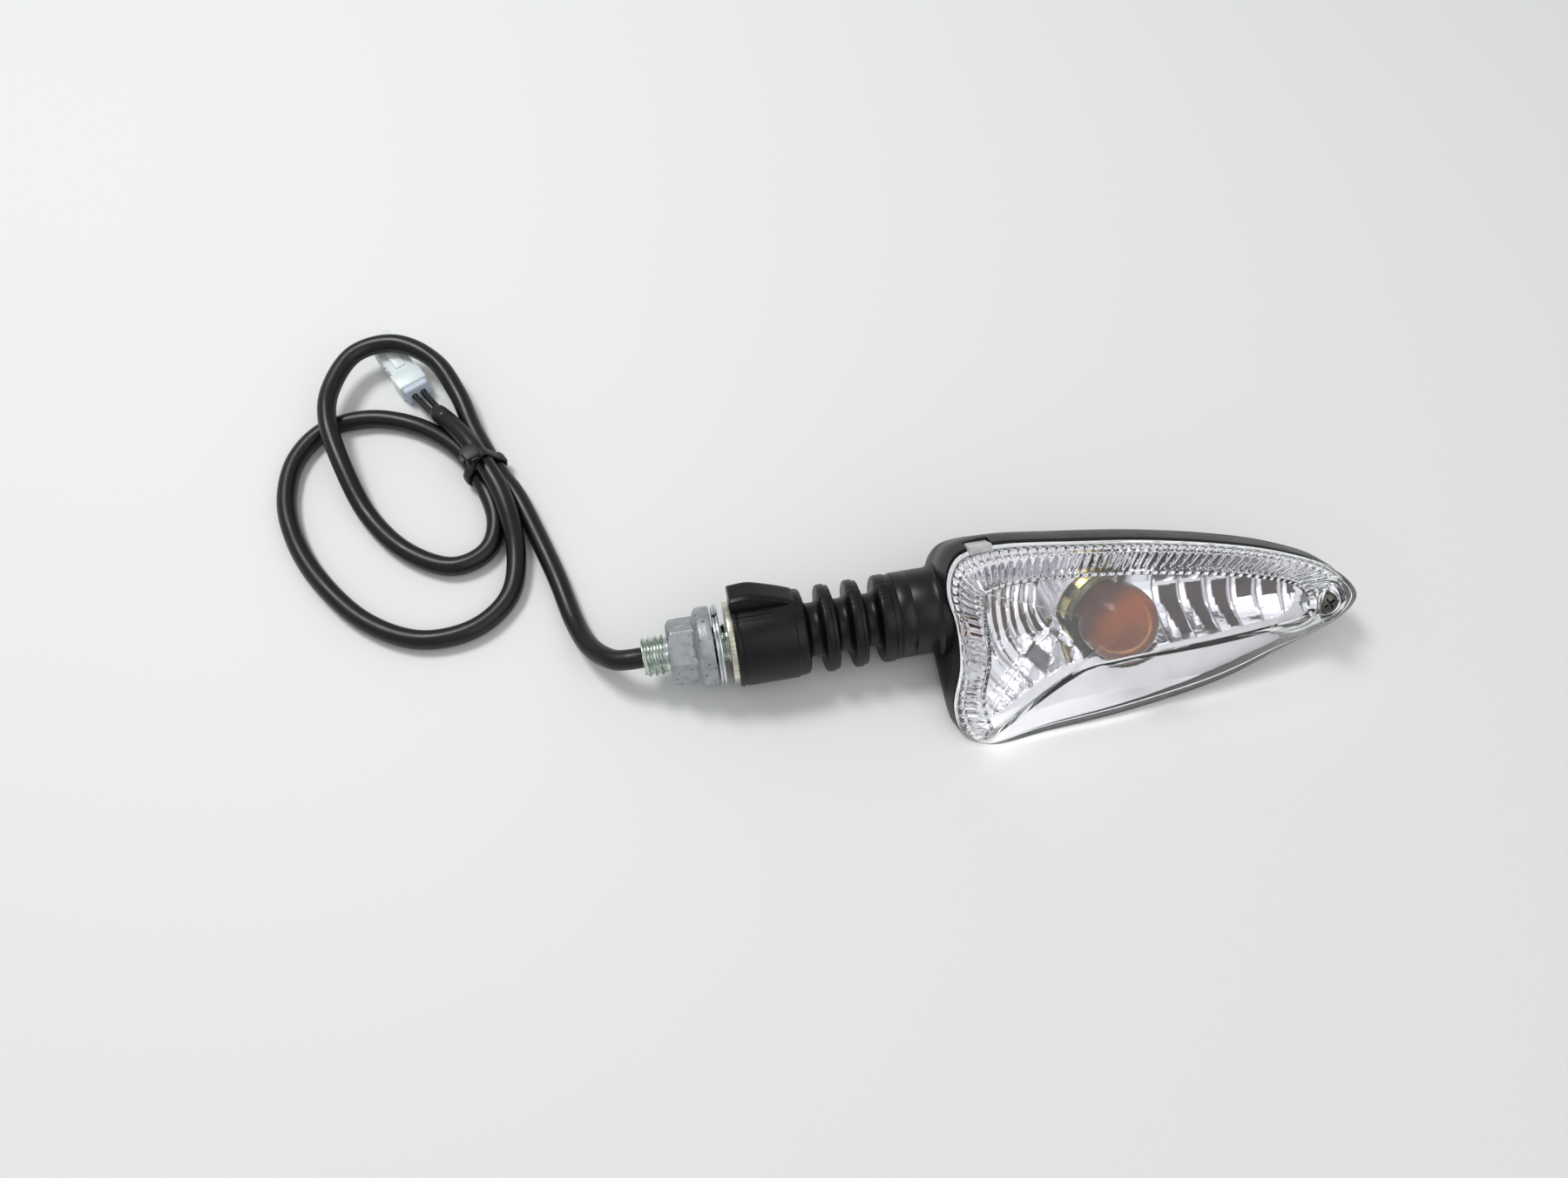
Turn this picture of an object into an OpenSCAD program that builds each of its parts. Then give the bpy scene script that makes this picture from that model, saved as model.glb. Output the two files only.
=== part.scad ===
// Turn signal on a flexible rubber stalk, with a bayonet bulb, a clear lens and a looped lead.
// Frame: origin on the stud axis at the mounting face, +X towards the lens tip, +Z up.
// The lens and reflector are drawn in head coordinates: u along the stalk, v across the lens,
// n out of the lens, which is the row frame turned about X by head_roll.

/* [Stud and nut] */
// Radius of the hollow stud over its thread
stud_r = 5; // [4.5:0.5:6]
// How far the stud stands out from the mounting face
stud_reach = 20.5; // [20:0.5:30]
// Width of the groove that ends the free part of the stud
relief_w = 0.8; // [0.6:0.1:1.2]
// Nut size across its flats
nut_af = 14; // [13:0.5:17]
// Length of the nut's hexagon
nut_hex_l = 6.8; // [5:0.2:8]
// Length of the cone between the hexagon and the flange
nut_cone_l = 1.1; // [0.8:0.1:2]
// Thickness of the nut's flange
nut_flange_t = 2.9; // [2:0.1:4]
// Radius of the nut's flange
nut_flange_r = 9.75; // [9:0.25:12]
// Thickness of the spring lock washer
washer_t = 0.8; // [0.6:0.1:1.5]
// Radius of the spring lock washer
washer_r = 10; // [9:0.5:11]
// Open gap between the washer and the mounting face, where the bracket goes
bracket_gap = 2.4; // [2:0.1:6]

/* [Rubber stalk] */
// Thickness of the steel plate at the mounting face
plate_t = 1.5; // [1:0.1:3]
// Radius of the steel plate
plate_r = 10; // [9.5:0.5:11]
// Radius of the rubber base, which the object rests on
base_r = 11; // [10.5:0.5:12]
// Length of the rubber base
base_l = 17.3; // [15:0.5:22]
// Length of the locating wing on the base
wing_l = 15.5; // [8:0.5:16]
// Height of the locating wing above the base
wing_h = 4.2; // [2:0.2:6]
// Width of the locating wing
wing_w = 9; // [4:0.5:12]
// Width of each gap between the rubber discs
gap_w = 3.7; // [3.4:0.1:5]
// Thickness of each rubber disc
disc_w = 3.2; // [2:0.1:5]
// Radius of the necks between the discs
neck_r = 6.5; // [5.5:0.5:8]
// Thickness of the rubber collar against the housing
collar_w = 4.5; // [3:0.5:8]

/* [Housing] */
// Roll of the lens about the stalk, in degrees
head_roll = 40; // [35:1:42]
// Radius of the housing's stub
stub_r = 10.5; // [10:0.1:11]
// Length of the stub outside the housing
stub_l = 9.3; // [6:0.5:15]
// Wall of the housing
wall = 2; // [1.5:0.1:2.5]
// Height of the housing's rim above the stalk axis
rim_n = 12; // [11.5:0.5:14]

/* [Lens] */
// Length of the lens
lens_l = 100.8; // [96:0.2:125]
// Width of the lens
lens_w = 47.6; // [46:0.2:58]
// Height of the lens face above its lower edge
lens_h = 10.6; // [10.6:0.2:14]
// Wall of the lens
lens_wall = 1.8; // [1.2:0.1:2.2]
// Thickness of the gasket under the lens
gasket_t = 0.7; // [0.5:0.1:1.5]
// Radius of the lens screw's shank
screw_r = 1.45; // [1:0.05:1.8]
// Radius of the lens screw's head
screw_head_r = 2.6; // [2.2:0.1:3]

/* [Bulb] */
// Radius of the glass globe
globe_r = 9.2; // [8:0.1:9.4]
// Radius of the brass base of the bulb
bulb_base_r = 7.5; // [6.5:0.1:7.5]
// Lean of the bulb away from the lens's normal, in degrees
bulb_lean = 43; // [40:1:46]
// Direction of that lean in the lens plane, in degrees
bulb_turn = -54; // [-58:1:-50]
// How far the bulb is pushed in to free it
bulb_push = 1.5; // [1:0.1:1.6]

/* [Lead] */
// Radius of the cable
cable_r = 2.5; // [2:0.1:2.5]
// Radius of one core wire with its insulation
core_r = 0.9; // [0.7:0.05:0.95]
// Width of the cable tie's band
tie_w = 2.6; // [2:0.2:4]
// Thickness of the cable tie's band
tie_t = 1; // [0.8:0.1:1]
// Length of the connector's housing
plug_l = 22; // [20:1:26]

/* [Hidden] */
$fn = 64;

slip = 0.1;            // radial clearance of a piece that slides or turns in another
loose = 0.3;           // clearance between pieces that only pass each other
eps = 0.01;            // overlap of a cut with the face that it passes
floor_z = -base_r;     // the surface that the object lies on
thread_clear = 0.05;   // radial clearance of the nut on the stud
relief_depth = 0.6;    // depth of the groove in the stud
end_chamfer = 0.5;     // chamfer on the stud's free end
stud_hold = 11;        // length of the stud inside the rubber base
stud_head_r = 7.5;     // radius of the stud's moulded-in head
stud_head_t = 3;       // thickness of that head
wing_turn = -25;       // direction of the locating wing, in degrees from straight up
bore_r = cable_r + 0.2;

// The nut stands a small clearance from the washer, which leaves the bracket gap free.
washer_x = -bracket_gap - washer_t;
flange_x = washer_x - loose;
nut_end_x = flange_x - nut_flange_t - nut_cone_l - nut_hex_l;
relief_x = nut_end_x - 0.1 - relief_w;

// Positions along the stalk, from the mounting face outwards.
base_end = plate_t + base_l;
disc_1_x = base_end + gap_w;
disc_2_x = disc_1_x + disc_w + gap_w;
collar_x = disc_2_x + disc_w + gap_w;
stub_x = collar_x + collar_w;
head_x = stub_x + stub_l;
disc_r = base_r;
disc_bevel = 0.6;
plug_r = 7.5;              // spigot of the rubber collar, inside the stub
boss_l = 7;                // length of the bored boss inside the housing
clip_t = 1;
clip_groove = 0.7;
clip_r = 9;
clip_x = head_x + boss_l + 0.1;
spigot_end = clip_x + clip_t + 0.9;

// ---- Curves and skins -------------------------------------------------------------------------

// One point of a smooth curve between b and c.
function smooth(a, b, c, d, t) =
    0.5 * (2 * b + (c - a) * t + (2 * a - 5 * b + 4 * c - d) * t * t
        + (3 * b - a - 3 * c + d) * t * t * t);

// A closed smooth outline through its key points.
function closed_curve(keys, steps) = let (n = len(keys))
    [for (i = [0 : n - 1], s = [0 : steps - 1])
        smooth(keys[(i + n - 1) % n], keys[i], keys[(i + 1) % n], keys[(i + 2) % n], s / steps)];

// An open smooth route through its points, ends included.
function open_curve(keys, steps) = let (n = len(keys))
    concat([for (i = [0 : n - 2], s = [0 : steps - 1])
        smooth(keys[max(i - 1, 0)], keys[i], keys[i + 1], keys[min(i + 2, n - 1)], s / steps)],
        [keys[n - 1]]);

function unit(v) = v / norm(v);

// The outline moved inwards by d. It runs clockwise, so inwards is to the right.
function inset(ring, d) = let (n = len(ring))
    [for (i = [0 : n - 1]) let (t = unit(ring[(i + 1) % n] - ring[(i + n - 1) % n]))
        ring[i] + d * [t[1], -t[0]]];

function at_height(ring, n) = [for (p = ring) [p[0], p[1], n]];

// Triangles between ring a and ring b of a stack of rings with m points each.
function band(a, b, m, flip) = [for (i = [0 : m - 1]) let (j = (i + 1) % m,
        p = a * m + i, q = a * m + j, r = b * m + j, s = b * m + i)
    each flip ? [[p, r, q], [p, s, r]] : [[p, q, r], [p, r, s]]];

// A fan of triangles from point c to ring a.
function fan(a, c, m, flip) = [for (i = [0 : m - 1]) let (p = a * m + i, q = a * m + (i + 1) % m)
    flip ? [c, q, p] : [c, p, q]];

function middle(ring) = [for (k = [0 : 2]) [for (p = ring) 1] * [for (p = ring) p[k]] / len(ring)];

// A thin open shell: outer rings and inner rings, both listed upwards from the rim.
module shell(outer, inner) {
    m = len(outer[0]);
    a = len(outer);
    b = len(inner);
    top = (a + b) * m;
    points = concat([for (ring = concat(outer, inner)) each ring],
        [middle(outer[a - 1]), middle(inner[b - 1])]);
    polyhedron(points, concat(
        [for (k = [0 : a - 2]) each band(k, k + 1, m, false)],
        [for (k = [a : a + b - 2]) each band(k, k + 1, m, true)],
        band(0, a, m, true),
        fan(a - 1, top, m, false), fan(a + b - 1, top + 1, m, true)), convexity = 6);
}

// A closed solid through a stack of rings, listed downwards.
module stack(rings) {
    m = len(rings[0]);
    a = len(rings);
    polyhedron(concat([for (ring = rings) each ring], [middle(rings[0]), middle(rings[a - 1])]),
        concat([for (k = [0 : a - 2]) each band(k, k + 1, m, true)],
            fan(0, a * m, m, false), fan(a - 1, a * m + 1, m, true)), convexity = 6);
}

// What lies higher than lift above the floor.
module above_floor(lift) intersection() {
    children();
    translate([0, -150, floor_z + lift]) cube([400, 300, 150]);
}

// A round tube swept along a route.
function tangent(path, i) = unit(path[min(i + 1, len(path) - 1)] - path[max(i - 1, 0)]);
function side_of(t) = unit(abs(t[2]) > 0.9 ? cross([0, 1, 0], t) : cross([0, 0, 1], t));

module tube(path, r, sides) {
    n = len(path);
    rings = [for (i = [0 : n - 1]) let (t = tangent(path, i), a = side_of(t), b = cross(t, a))
        [for (k = [0 : sides - 1])
            path[i] + r * (cos(360 * k / sides) * a + sin(360 * k / sides) * b)]];
    polyhedron(concat([for (ring = rings) each ring], [path[0], path[n - 1]]), concat(
        [for (i = [0 : n - 2]) each band(i, i + 1, sides, true)],
        fan(0, n * sides, sides, false), fan(n - 1, n * sides + 1, sides, true)), convexity = 8);
}

// ---- Outlines of the head ---------------------------------------------------------------------

rim_left = head_x;
rim_bottom = -31.6;
shape_steps = 2;

// The lens's lower edge and its flat face, as shares of the lens's length and width.
rim_keys = [[6.8, 99], [16, 100], [31.5, 96], [49.5, 90.5], [67.5, 82.5], [82, 73.5], [94, 61.5],
    [100, 46], [95, 34.5], [82, 25], [64.5, 13], [42.5, 5.5], [21.5, 2], [8, 0], [1.5, 8.5],
    [0, 22.5], [2.5, 42], [2.8, 62], [1.4, 80], [2.8, 92.5]];
face_keys = [[8.5, 84.5], [15, 86.5], [28.5, 85], [44.5, 81], [60.5, 75], [73.5, 68.5], [81.5, 61.5],
    [85, 51], [82, 39.5], [74.5, 35], [59.5, 35], [39.5, 34], [22.5, 25.5], [7.5, 12], [5, 17],
    [4, 31], [6.3, 48.5], [6.5, 66.5], [6.3, 78], [7, 83]];

function scaled(keys) = [for (p = keys)
    [rim_left + p[0] * lens_l / 100, rim_bottom + p[1] * lens_w / 100]];
rim = closed_curve(scaled(rim_keys), shape_steps);
face = closed_curve(scaled(face_keys), shape_steps);

// Height v at which a plane that is lift above the floor passes through height n.
function floor_v(n, lift) = (floor_z + lift - n * cos(head_roll)) / sin(head_roll);

// The rim's outline stretched into the box from left to right and bottom to top.
function boxed(left, right, bottom, top) = [for (p = rim)
    [left + (p[0] - rim_left) * (right - left) / lens_l,
     bottom + (p[1] - rim_bottom) * (top - bottom) / lens_w]];

rim_right = rim_left + lens_l;
rim_top = rim_bottom + lens_w;
floor_tuck = 5;

// Levels of the housing: height, then how far left, right and top stand off the rim's outline.
levels = [[rim_n, 0, 0, 0.6], [8, -0.5, 0.6, 1.4], [5, -0.5, -2, 1.3], [0, -0.1, -13, 0.2],
    [-4, 0.2, -25, -0.5], [-8.5, 0.6, -41, -4], [-13, 4, -57, -10]];

// One level's ring, moved inwards by d, with the closed end moved up by d. It runs below the
// floor, where the housing and the reflector are cut flat.
function level_ring(l, last, low, d) = let (n = l[0] + (l == last ? d : 0))
    at_height(boxed(rim_left + l[1] + d, rim_right + l[2] - d,
        max(rim_bottom + low, floor_v(n, 0) - floor_tuck) + d, rim_top + l[3] - d), n);

// Levels of the reflector's bowl: height, left, right and top, against the rim's outline.
bowl_t = 1.2;
bowl_levels = [[rim_n - 0.5, 2.3, -16, -2], [10, 10, -17, -3], [5, 14, -20, -4.5],
    [1, 19, -27, -6], [-2, 26, -37, -9]];
bowl_lift = 2.7;
bowl_low = 2.5;

// An open bowl through a list of levels, with wall t, whose floor lies lift above the ground.
module bowl(list, low, lift, t) {
    last = list[len(list) - 1];
    difference() {
        above_floor(lift) in_head() stack([for (l = list) level_ring(l, last, low, 0)]);
        above_floor(lift + t) in_head() stack(concat(
            [[for (p = level_ring(list[0], last, low, t)) p + [0, 0, 2]]],
            [for (l = list) level_ring(l, last, low, t)]));
    }
}

module in_head() rotate([head_roll, 0, 0]) children();
module along_x(x) translate([x, 0, 0]) rotate([0, 90, 0]) children();

// ---- Lens and bulb positions ------------------------------------------------------------------

lens_gap = 0.2;                                // between gasket and lens
lens_n = rim_n + gasket_t + lens_gap;          // lower edge of the lens
edge_n = lens_n + 1.6;                         // top of the lens's upright edge
face_n = lens_n + lens_h;                      // the lens's face
crown_h = 0.8;
crown_scale = 0.55;
screw_u = rim_left + 0.91 * lens_l;
screw_v = rim_bottom + 0.455 * lens_w;
lug_r = 3.6;
lug_n = lens_n + 3;                            // seat of the screw's seal
seal_t = 0.6;
screw_head_t = 1.8;
screw_l = 11;
boss_r = 3.2;
tab_u = rim_left + 0.075 * lens_l;
tab_l = 5.4;
tab_t = 0.8;

globe_gap = 0.5;
globe_u = rim_left + 42;
globe_v = -7.4;
globe_n = face_n - lens_wall - globe_gap - globe_r;
module at_bulb() in_head() translate([globe_u, globe_v, globe_n])
    rotate([0, 0, bulb_turn]) rotate([0, bulb_lean, 0]) children();

// Heights along the bulb's axis, measured from the middle of the globe, negative towards its base.
neck_end = -10.5;
base_top = -8;
base_low = -16.5;
contact_low = -17.8;
plunger_top = contact_low - 0.1;
plunger_low = plunger_top - 1.1;
spring_low = -21;
socket_low = -22;
pin_z = -13;
pin_r = 1;
pin_out = 0.8;
glass_t = 0.7;
glass_neck_r = bulb_base_r - 1.2;
shell_r = bulb_base_r + slip;
shell_t = 0.8;
shell_top = -9.5;
sleeve_r = shell_r + shell_t + loose;
sleeve_t = 1.2;
sleeve_top = -11.5;
sleeve_low = -18.5;

// ---- Stud, nut and rubber stalk ---------------------------------------------------------------

// Hollow steel stud, its head moulded into the rubber base.
module stud() color("silver") difference() {
    union() {
        along_x(-stud_reach) cylinder(h = end_chamfer, r1 = stud_r - end_chamfer, r2 = stud_r);
        along_x(-stud_reach + end_chamfer) cylinder(h = stud_reach - end_chamfer + stud_hold, r = stud_r);
        along_x(plate_t) cylinder(h = stud_head_t, r = stud_head_r);
    }
    along_x(relief_x) difference() {
        cylinder(h = relief_w, r = stud_r + 1);
        translate([0, 0, -1]) cylinder(h = relief_w + 2, r = stud_r - relief_depth);
    }
    along_x(-stud_reach - 1) cylinder(h = stud_reach + stud_hold + 2, r = bore_r);
}

// Plated steel plate that the bracket clamps against.
module base_plate() color("#cfc58e") difference() {
    along_x(0) cylinder(h = plate_t, r = plate_r);
    along_x(-1) cylinder(h = plate_t + 2, r = stud_r);
}

// Lock washer and flange nut, which travel along the stud together.
module lock_washer() color("gainsboro") along_x(washer_x) difference() {
    cylinder(h = washer_t, r = washer_r);
    translate([0, 0, -1]) cylinder(h = washer_t + 2, r = stud_r + loose);
}

module flange_nut() color("darkgray") difference() {
    union() {
        along_x(flange_x - nut_flange_t) cylinder(h = nut_flange_t, r = nut_flange_r);
        along_x(flange_x - nut_flange_t - nut_cone_l)
            cylinder(h = nut_cone_l, r1 = nut_af / 2, r2 = nut_flange_r - 0.8);
        along_x(nut_end_x) rotate([0, 0, 20])
            cylinder(h = nut_hex_l + nut_cone_l, r = nut_af / sqrt(3), $fn = 6);
    }
    along_x(nut_end_x - 1) cylinder(h = flange_x - nut_end_x + 2, r = stud_r + thread_clear);
}

module wing() {
    rise = [[0, 0], [0, wing_h - 0.6], [wing_l * 0.3, wing_h], [wing_l * 0.75, wing_h * 0.45],
        [wing_l, 0]];
    translate([0, wing_w / 2, 0]) rotate([90, 0, 0]) linear_extrude(wing_w)
        polygon(concat([[0, -base_r / 2]], rise, [[wing_l, -base_r / 2]]));
}

// Rubber base moulded round the stud's head, with a wing that keys it in its bracket.
module rubber_base() color("#1c1d20") difference() {
    union() {
        along_x(plate_t) cylinder(h = base_l - disc_bevel, r = base_r);
        along_x(base_end - disc_bevel)
            cylinder(h = disc_bevel, r1 = base_r, r2 = base_r - disc_bevel);
        rotate([wing_turn, 0, 0]) translate([plate_t, 0, base_r - 0.5]) wing();
    }
    along_x(plate_t - eps) cylinder(h = stud_head_t + eps, r = stud_head_r);
    along_x(plate_t) cylinder(h = stud_hold - plate_t, r = stud_r);
    along_x(plate_t) cylinder(h = base_l + 1, r = bore_r);
}

// A rubber ring with a bevel on both rims.
module disc(x, w) difference() {
    union() {
        along_x(x) cylinder(h = disc_bevel, r1 = disc_r - disc_bevel, r2 = disc_r);
        along_x(x + disc_bevel) cylinder(h = w - 2 * disc_bevel, r = disc_r);
        along_x(x + w - disc_bevel) cylinder(h = disc_bevel, r1 = disc_r, r2 = disc_r - disc_bevel);
    }
    along_x(x - 1) cylinder(h = w + 2, r = bore_r);
}

module neck(x) difference() {
    along_x(x) cylinder(h = gap_w, r = neck_r);
    along_x(x - 1) cylinder(h = gap_w + 2, r = bore_r);
}

module neck_1() color("#141518") neck(base_end);
module stalk_disc_1() color("#1c1d20") disc(disc_1_x, disc_w);
module neck_2() color("#141518") neck(disc_1_x + disc_w);
module stalk_disc_2() color("#1c1d20") disc(disc_2_x, disc_w);
module neck_3() color("#141518") neck(disc_2_x + disc_w);

// Last rubber ring, with the spigot that goes through the housing's stub.
module stalk_collar() color("#1c1d20") difference() {
    union() {
        disc(collar_x, collar_w);
        along_x(stub_x - eps) cylinder(h = spigot_end - stub_x + eps, r = plug_r);
    }
    along_x(clip_x - 0.1) difference() {
        cylinder(h = clip_t + 0.2, r = plug_r + 1);
        translate([0, 0, -1]) cylinder(h = clip_t + 2.2, r = plug_r - clip_groove);
    }
    along_x(collar_x - 1) cylinder(h = spigot_end - collar_x + 2, r = bore_r);
}

// Open spring clip in the spigot's groove, against the boss inside the housing.
module stem_clip() color("silver") along_x(clip_x) difference() {
    cylinder(h = clip_t, r = clip_r);
    translate([0, 0, -1]) cylinder(h = clip_t + 2, r = plug_r - clip_groove + slip);
    translate([0, -3, -1]) cube([clip_r + 1, 6, clip_t + 2]);
}

// The part of the cable inside the stud and the stalk, which bends with the stalk.
module stalk_lead() color("#101114") along_x(-stud_reach)
    cylinder(h = stud_reach + spigot_end, r = cable_r);

// ---- Housing, gasket, reflector, lens ---------------------------------------------------------

screw_foot_n = 3.2;
screw_hole_n = 4.5;

// Moulded housing, open towards the lens, flat where it lies on the floor, with its stub, the
// boss behind the stub and the post for the lens screw.
module housing() color("#202124") difference() {
    union() {
        bowl(levels, 0, 0, wall);
        along_x(stub_x) cylinder(h = stub_l + boss_l, r = stub_r);
        in_head() translate([screw_u, screw_v, screw_foot_n])
            cylinder(h = rim_n - screw_foot_n, r = boss_r);
    }
    along_x(stub_x - 1) cylinder(h = stub_l + boss_l + 2, r = plug_r + slip);
    in_head() translate([screw_u, screw_v, screw_hole_n]) cylinder(h = 20, r = screw_r + slip);
    in_head() translate([tab_u - loose, rim_top - 3, rim_n - 3 - loose])
        cube([tab_l + 2 * loose, 6, 10]);
}

// Soft ring between the housing's rim and the lens.
module lens_gasket() color("dimgray") in_head() difference() {
    translate([0, 0, rim_n]) linear_extrude(gasket_t) polygon(inset(rim, 0.3));
    translate([0, 0, rim_n - 1]) linear_extrude(gasket_t + 2) polygon(inset(rim, 1.4));
    translate([tab_u - loose, rim_top - 3, rim_n - 1]) cube([tab_l + 2 * loose, 6, 3]);
}

// Bright bowl round the bulb, with the sleeve that holds the socket.
module reflector() color("lightgray") difference() {
    union() {
        bowl(bowl_levels, bowl_low, bowl_lift, bowl_t);
        at_bulb() translate([0, 0, sleeve_low])
            cylinder(h = sleeve_top - sleeve_low, r = sleeve_r + sleeve_t);
    }
    at_bulb() translate([0, 0, sleeve_low - 5]) cylinder(h = 12, r = sleeve_r);
    at_bulb() translate([0, 0, sleeve_low - 1]) cylinder(h = 20, r = sleeve_r);
}

function toward(ring, k) = let (c = [for (i = [0, 1]) (max([for (p = ring) p[i]])
    + min([for (p = ring) p[i]])) / 2]) [for (p = ring) c + k * (p - c)];

// Clear lens with a flat face, a sloping border, a screw lug at its tip and a tab at its root.
module lens() color("white", 0.35) in_head() difference() {
    union() {
        shell([at_height(rim, lens_n), at_height(rim, edge_n), at_height(face, face_n),
                at_height(toward(face, crown_scale), face_n + crown_h)],
            [at_height(inset(rim, lens_wall), lens_n), at_height(inset(rim, lens_wall), edge_n - 0.6),
                at_height(inset(face, 1), face_n - lens_wall),
                at_height(toward(inset(face, 1), crown_scale), face_n + crown_h - lens_wall)]);
        translate([screw_u, screw_v, lens_n]) cylinder(h = lug_n - lens_n, r = lug_r);
        translate([tab_u, rim_top - 1.5, rim_n - 3]) cube([tab_l, 1.5 + tab_t, 3 + edge_n - rim_n]);
    }
    translate([screw_u, screw_v, lug_n]) cylinder(h = 12, r = screw_head_r + 2 * loose);
    translate([screw_u, screw_v, lens_n - 1]) cylinder(h = 12, r = screw_r + loose);
}

module screw_seal() color("black") in_head() translate([screw_u, screw_v, lug_n]) difference() {
    cylinder(h = seal_t, r = screw_head_r - 0.2);
    translate([0, 0, -1]) cylinder(h = seal_t + 2, r = screw_r + slip);
}

// Lens screw with a cross recess.
module lens_screw() color("silver") in_head() translate([screw_u, screw_v, lug_n + seal_t])
    difference() {
        union() {
            translate([0, 0, -screw_l]) cylinder(h = screw_l + 1, r = screw_r);
            cylinder(h = screw_head_t, r = screw_head_r);
        }
        for (a = [0, 90]) rotate([0, 0, a]) translate([-1.5, -0.3, screw_head_t - 1])
            cube([3, 0.6, 2]);
    }

// ---- Bulb and socket --------------------------------------------------------------------------

module bulb_form(shrink) {
    sphere(r = globe_r - shrink);
    translate([0, 0, neck_end - (shrink > 0 ? 1 : 0)])
        cylinder(h = -neck_end, r = glass_neck_r - shrink);
}

module bulb_glass() color("darkorange") at_bulb() difference() {
    bulb_form(0);
    bulb_form(glass_t);
}

// Support wires and the lit coil, standing on the bulb's base.
module bulb_filament() color("gray") at_bulb() {
    for (s = [-1, 1]) translate([2.2 * s, 0, neck_end]) cylinder(h = -neck_end + 1, r = 0.3, $fn = 24);
    translate([-2.5, 0, 0.8]) rotate([0, 90, 0]) cylinder(h = 5, r = 0.4, $fn = 24);
}

module bulb_base() color("goldenrod") at_bulb() difference() {
    union() {
        translate([0, 0, base_low]) cylinder(h = base_top - base_low, r = bulb_base_r);
        for (a = [0, 180]) rotate([0, 0, a]) translate([0, 0, pin_z]) rotate([0, 90, 0])
            cylinder(h = bulb_base_r + pin_out, r = pin_r, $fn = 32);
    }
    translate([0, 0, neck_end]) cylinder(h = 10, r = glass_neck_r + slip);
}

module bulb_contact() color("gray") at_bulb() translate([0, 0, contact_low])
    cylinder(h = base_low - contact_low, r = 2.4);

// Pressed sleeve with two slots that the bulb's pins turn in.
module socket_shell() color("khaki") at_bulb() difference() {
    translate([0, 0, spring_low]) cylinder(h = shell_top - spring_low, r = shell_r + shell_t);
    translate([0, 0, spring_low - 1]) cylinder(h = 20, r = shell_r);
    for (a = [0, 180]) rotate([0, 0, a]) {
        slot([-12, 34], pin_z - pin_r - bulb_push - loose, pin_z + pin_r + loose);
        slot([10, 34], pin_z, 0);
    }
}

// A window in the sleeve between two angles and two heights.
module slot(span, low, high) rotate([0, 0, span[0]]) rotate_extrude(angle = span[1] - span[0])
    translate([shell_r - 1, low]) square([shell_t + 2, high - low]);

module socket_plunger() color("saddlebrown") at_bulb() translate([0, 0, plunger_low])
    cylinder(h = plunger_top - plunger_low, r = shell_r - loose);

// Closely wound spring that pushes the plunger against the bulb.
spring_wire_r = 0.3;
spring_r = 4.5;
spring_turns = 2;
module socket_spring() color("silver") at_bulb() {
    low = spring_low + spring_wire_r;
    high = plunger_low - spring_wire_r;
    tube([for (a = [0 : 24 : 360 * spring_turns]) [spring_r * cos(a), spring_r * sin(a),
        low + (high - low) * a / (360 * spring_turns)]], spring_wire_r, 8);
}

// Insulated floor of the socket, with the two blades that the wires are fixed to.
blade_out = 2;
module socket_base() color("saddlebrown") at_bulb() {
    translate([0, 0, socket_low]) cylinder(h = spring_low - socket_low, r = shell_r + shell_t);
    for (s = [-1, 1]) translate([-0.4 - 2.5, s * 3 - 1.2, socket_low - blade_out])
        cube([0.8, 2.4, blade_out]);
}

// ---- Wires ------------------------------------------------------------------------------------

wire_start = spigot_end + 0.4;
signal_route = [[wire_start, 1.2, -1], [wire_start + 2, 1.3, -1.2], [66, 2.8, -3.4], [72, 4, -5],
    [77.5, 6.4, -6]];
ground_route = [[wire_start, -1.2, -1], [wire_start + 2, -1.3, -1.2], [66, -2.2, -4.6],
    [72, -1.2, -7], [77.5, 1.4, -8]];
module signal_wire() color("orange") in_head() tube(open_curve(signal_route, 3), core_r, 8);
module ground_wire() color("black") in_head() tube(open_curve(ground_route, 3), core_r, 8);

// Route of the free cable from the stud's end, in the row frame: out of the stud, down to the
// floor, through the tie, round the long loop, back through the tie, round the wide loop, and
// through the tie a third time.
cable_route = [[-20.5, 0, 0], [-23.5, 0, 0], [-28, 1.6, -1.6], [-33, 7.5, -5], [-36.5, 17, -8.1],
    [-39.5, 30, -8.5],
    [-43.5, 44, -8.3], [-47.5, 56, -7.4], [-52.7, 67, -7.4], [-57.2, 79, -7.2], [-60.5, 91, -5.8],
    [-66, 102, -3.4], [-76, 109, -2.4], [-87, 107.5, -2.5], [-93.5, 98, -2.9], [-95, 87, -3],
    [-92, 73, -5], [-86.5, 58, -8.2], [-77.5, 45.5, -8.5], [-66, 38.5, -8.5], [-56.5, 41.5, -8.5],
    [-53.5, 51, -8], [-57.3, 65, -7.4], [-63, 75.5, -7.7], [-73, 84.5, -8.5], [-85, 89, -8.5],
    [-97, 87.5, -8.5], [-105, 79, -8.5], [-107.5, 66.5, -8.5], [-105, 53, -8.5], [-98.5, 39.5, -8.5],
    [-88, 26.5, -8.5], [-75, 19, -8.5], [-61.5, 19.5, -8.5], [-52, 27, -8.5], [-49, 39, -7.2],
    [-50.3, 53, -3.8], [-55, 66, -2.8], [-60, 76, -3.4], [-64, 82.5, -5.2]];
cable_path = concat([cable_route[0]],
    open_curve([for (i = [1 : len(cable_route) - 1]) cable_route[i]], 2));
module cable() color("#15161a") tube(cable_path, cable_r, 10);

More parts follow.
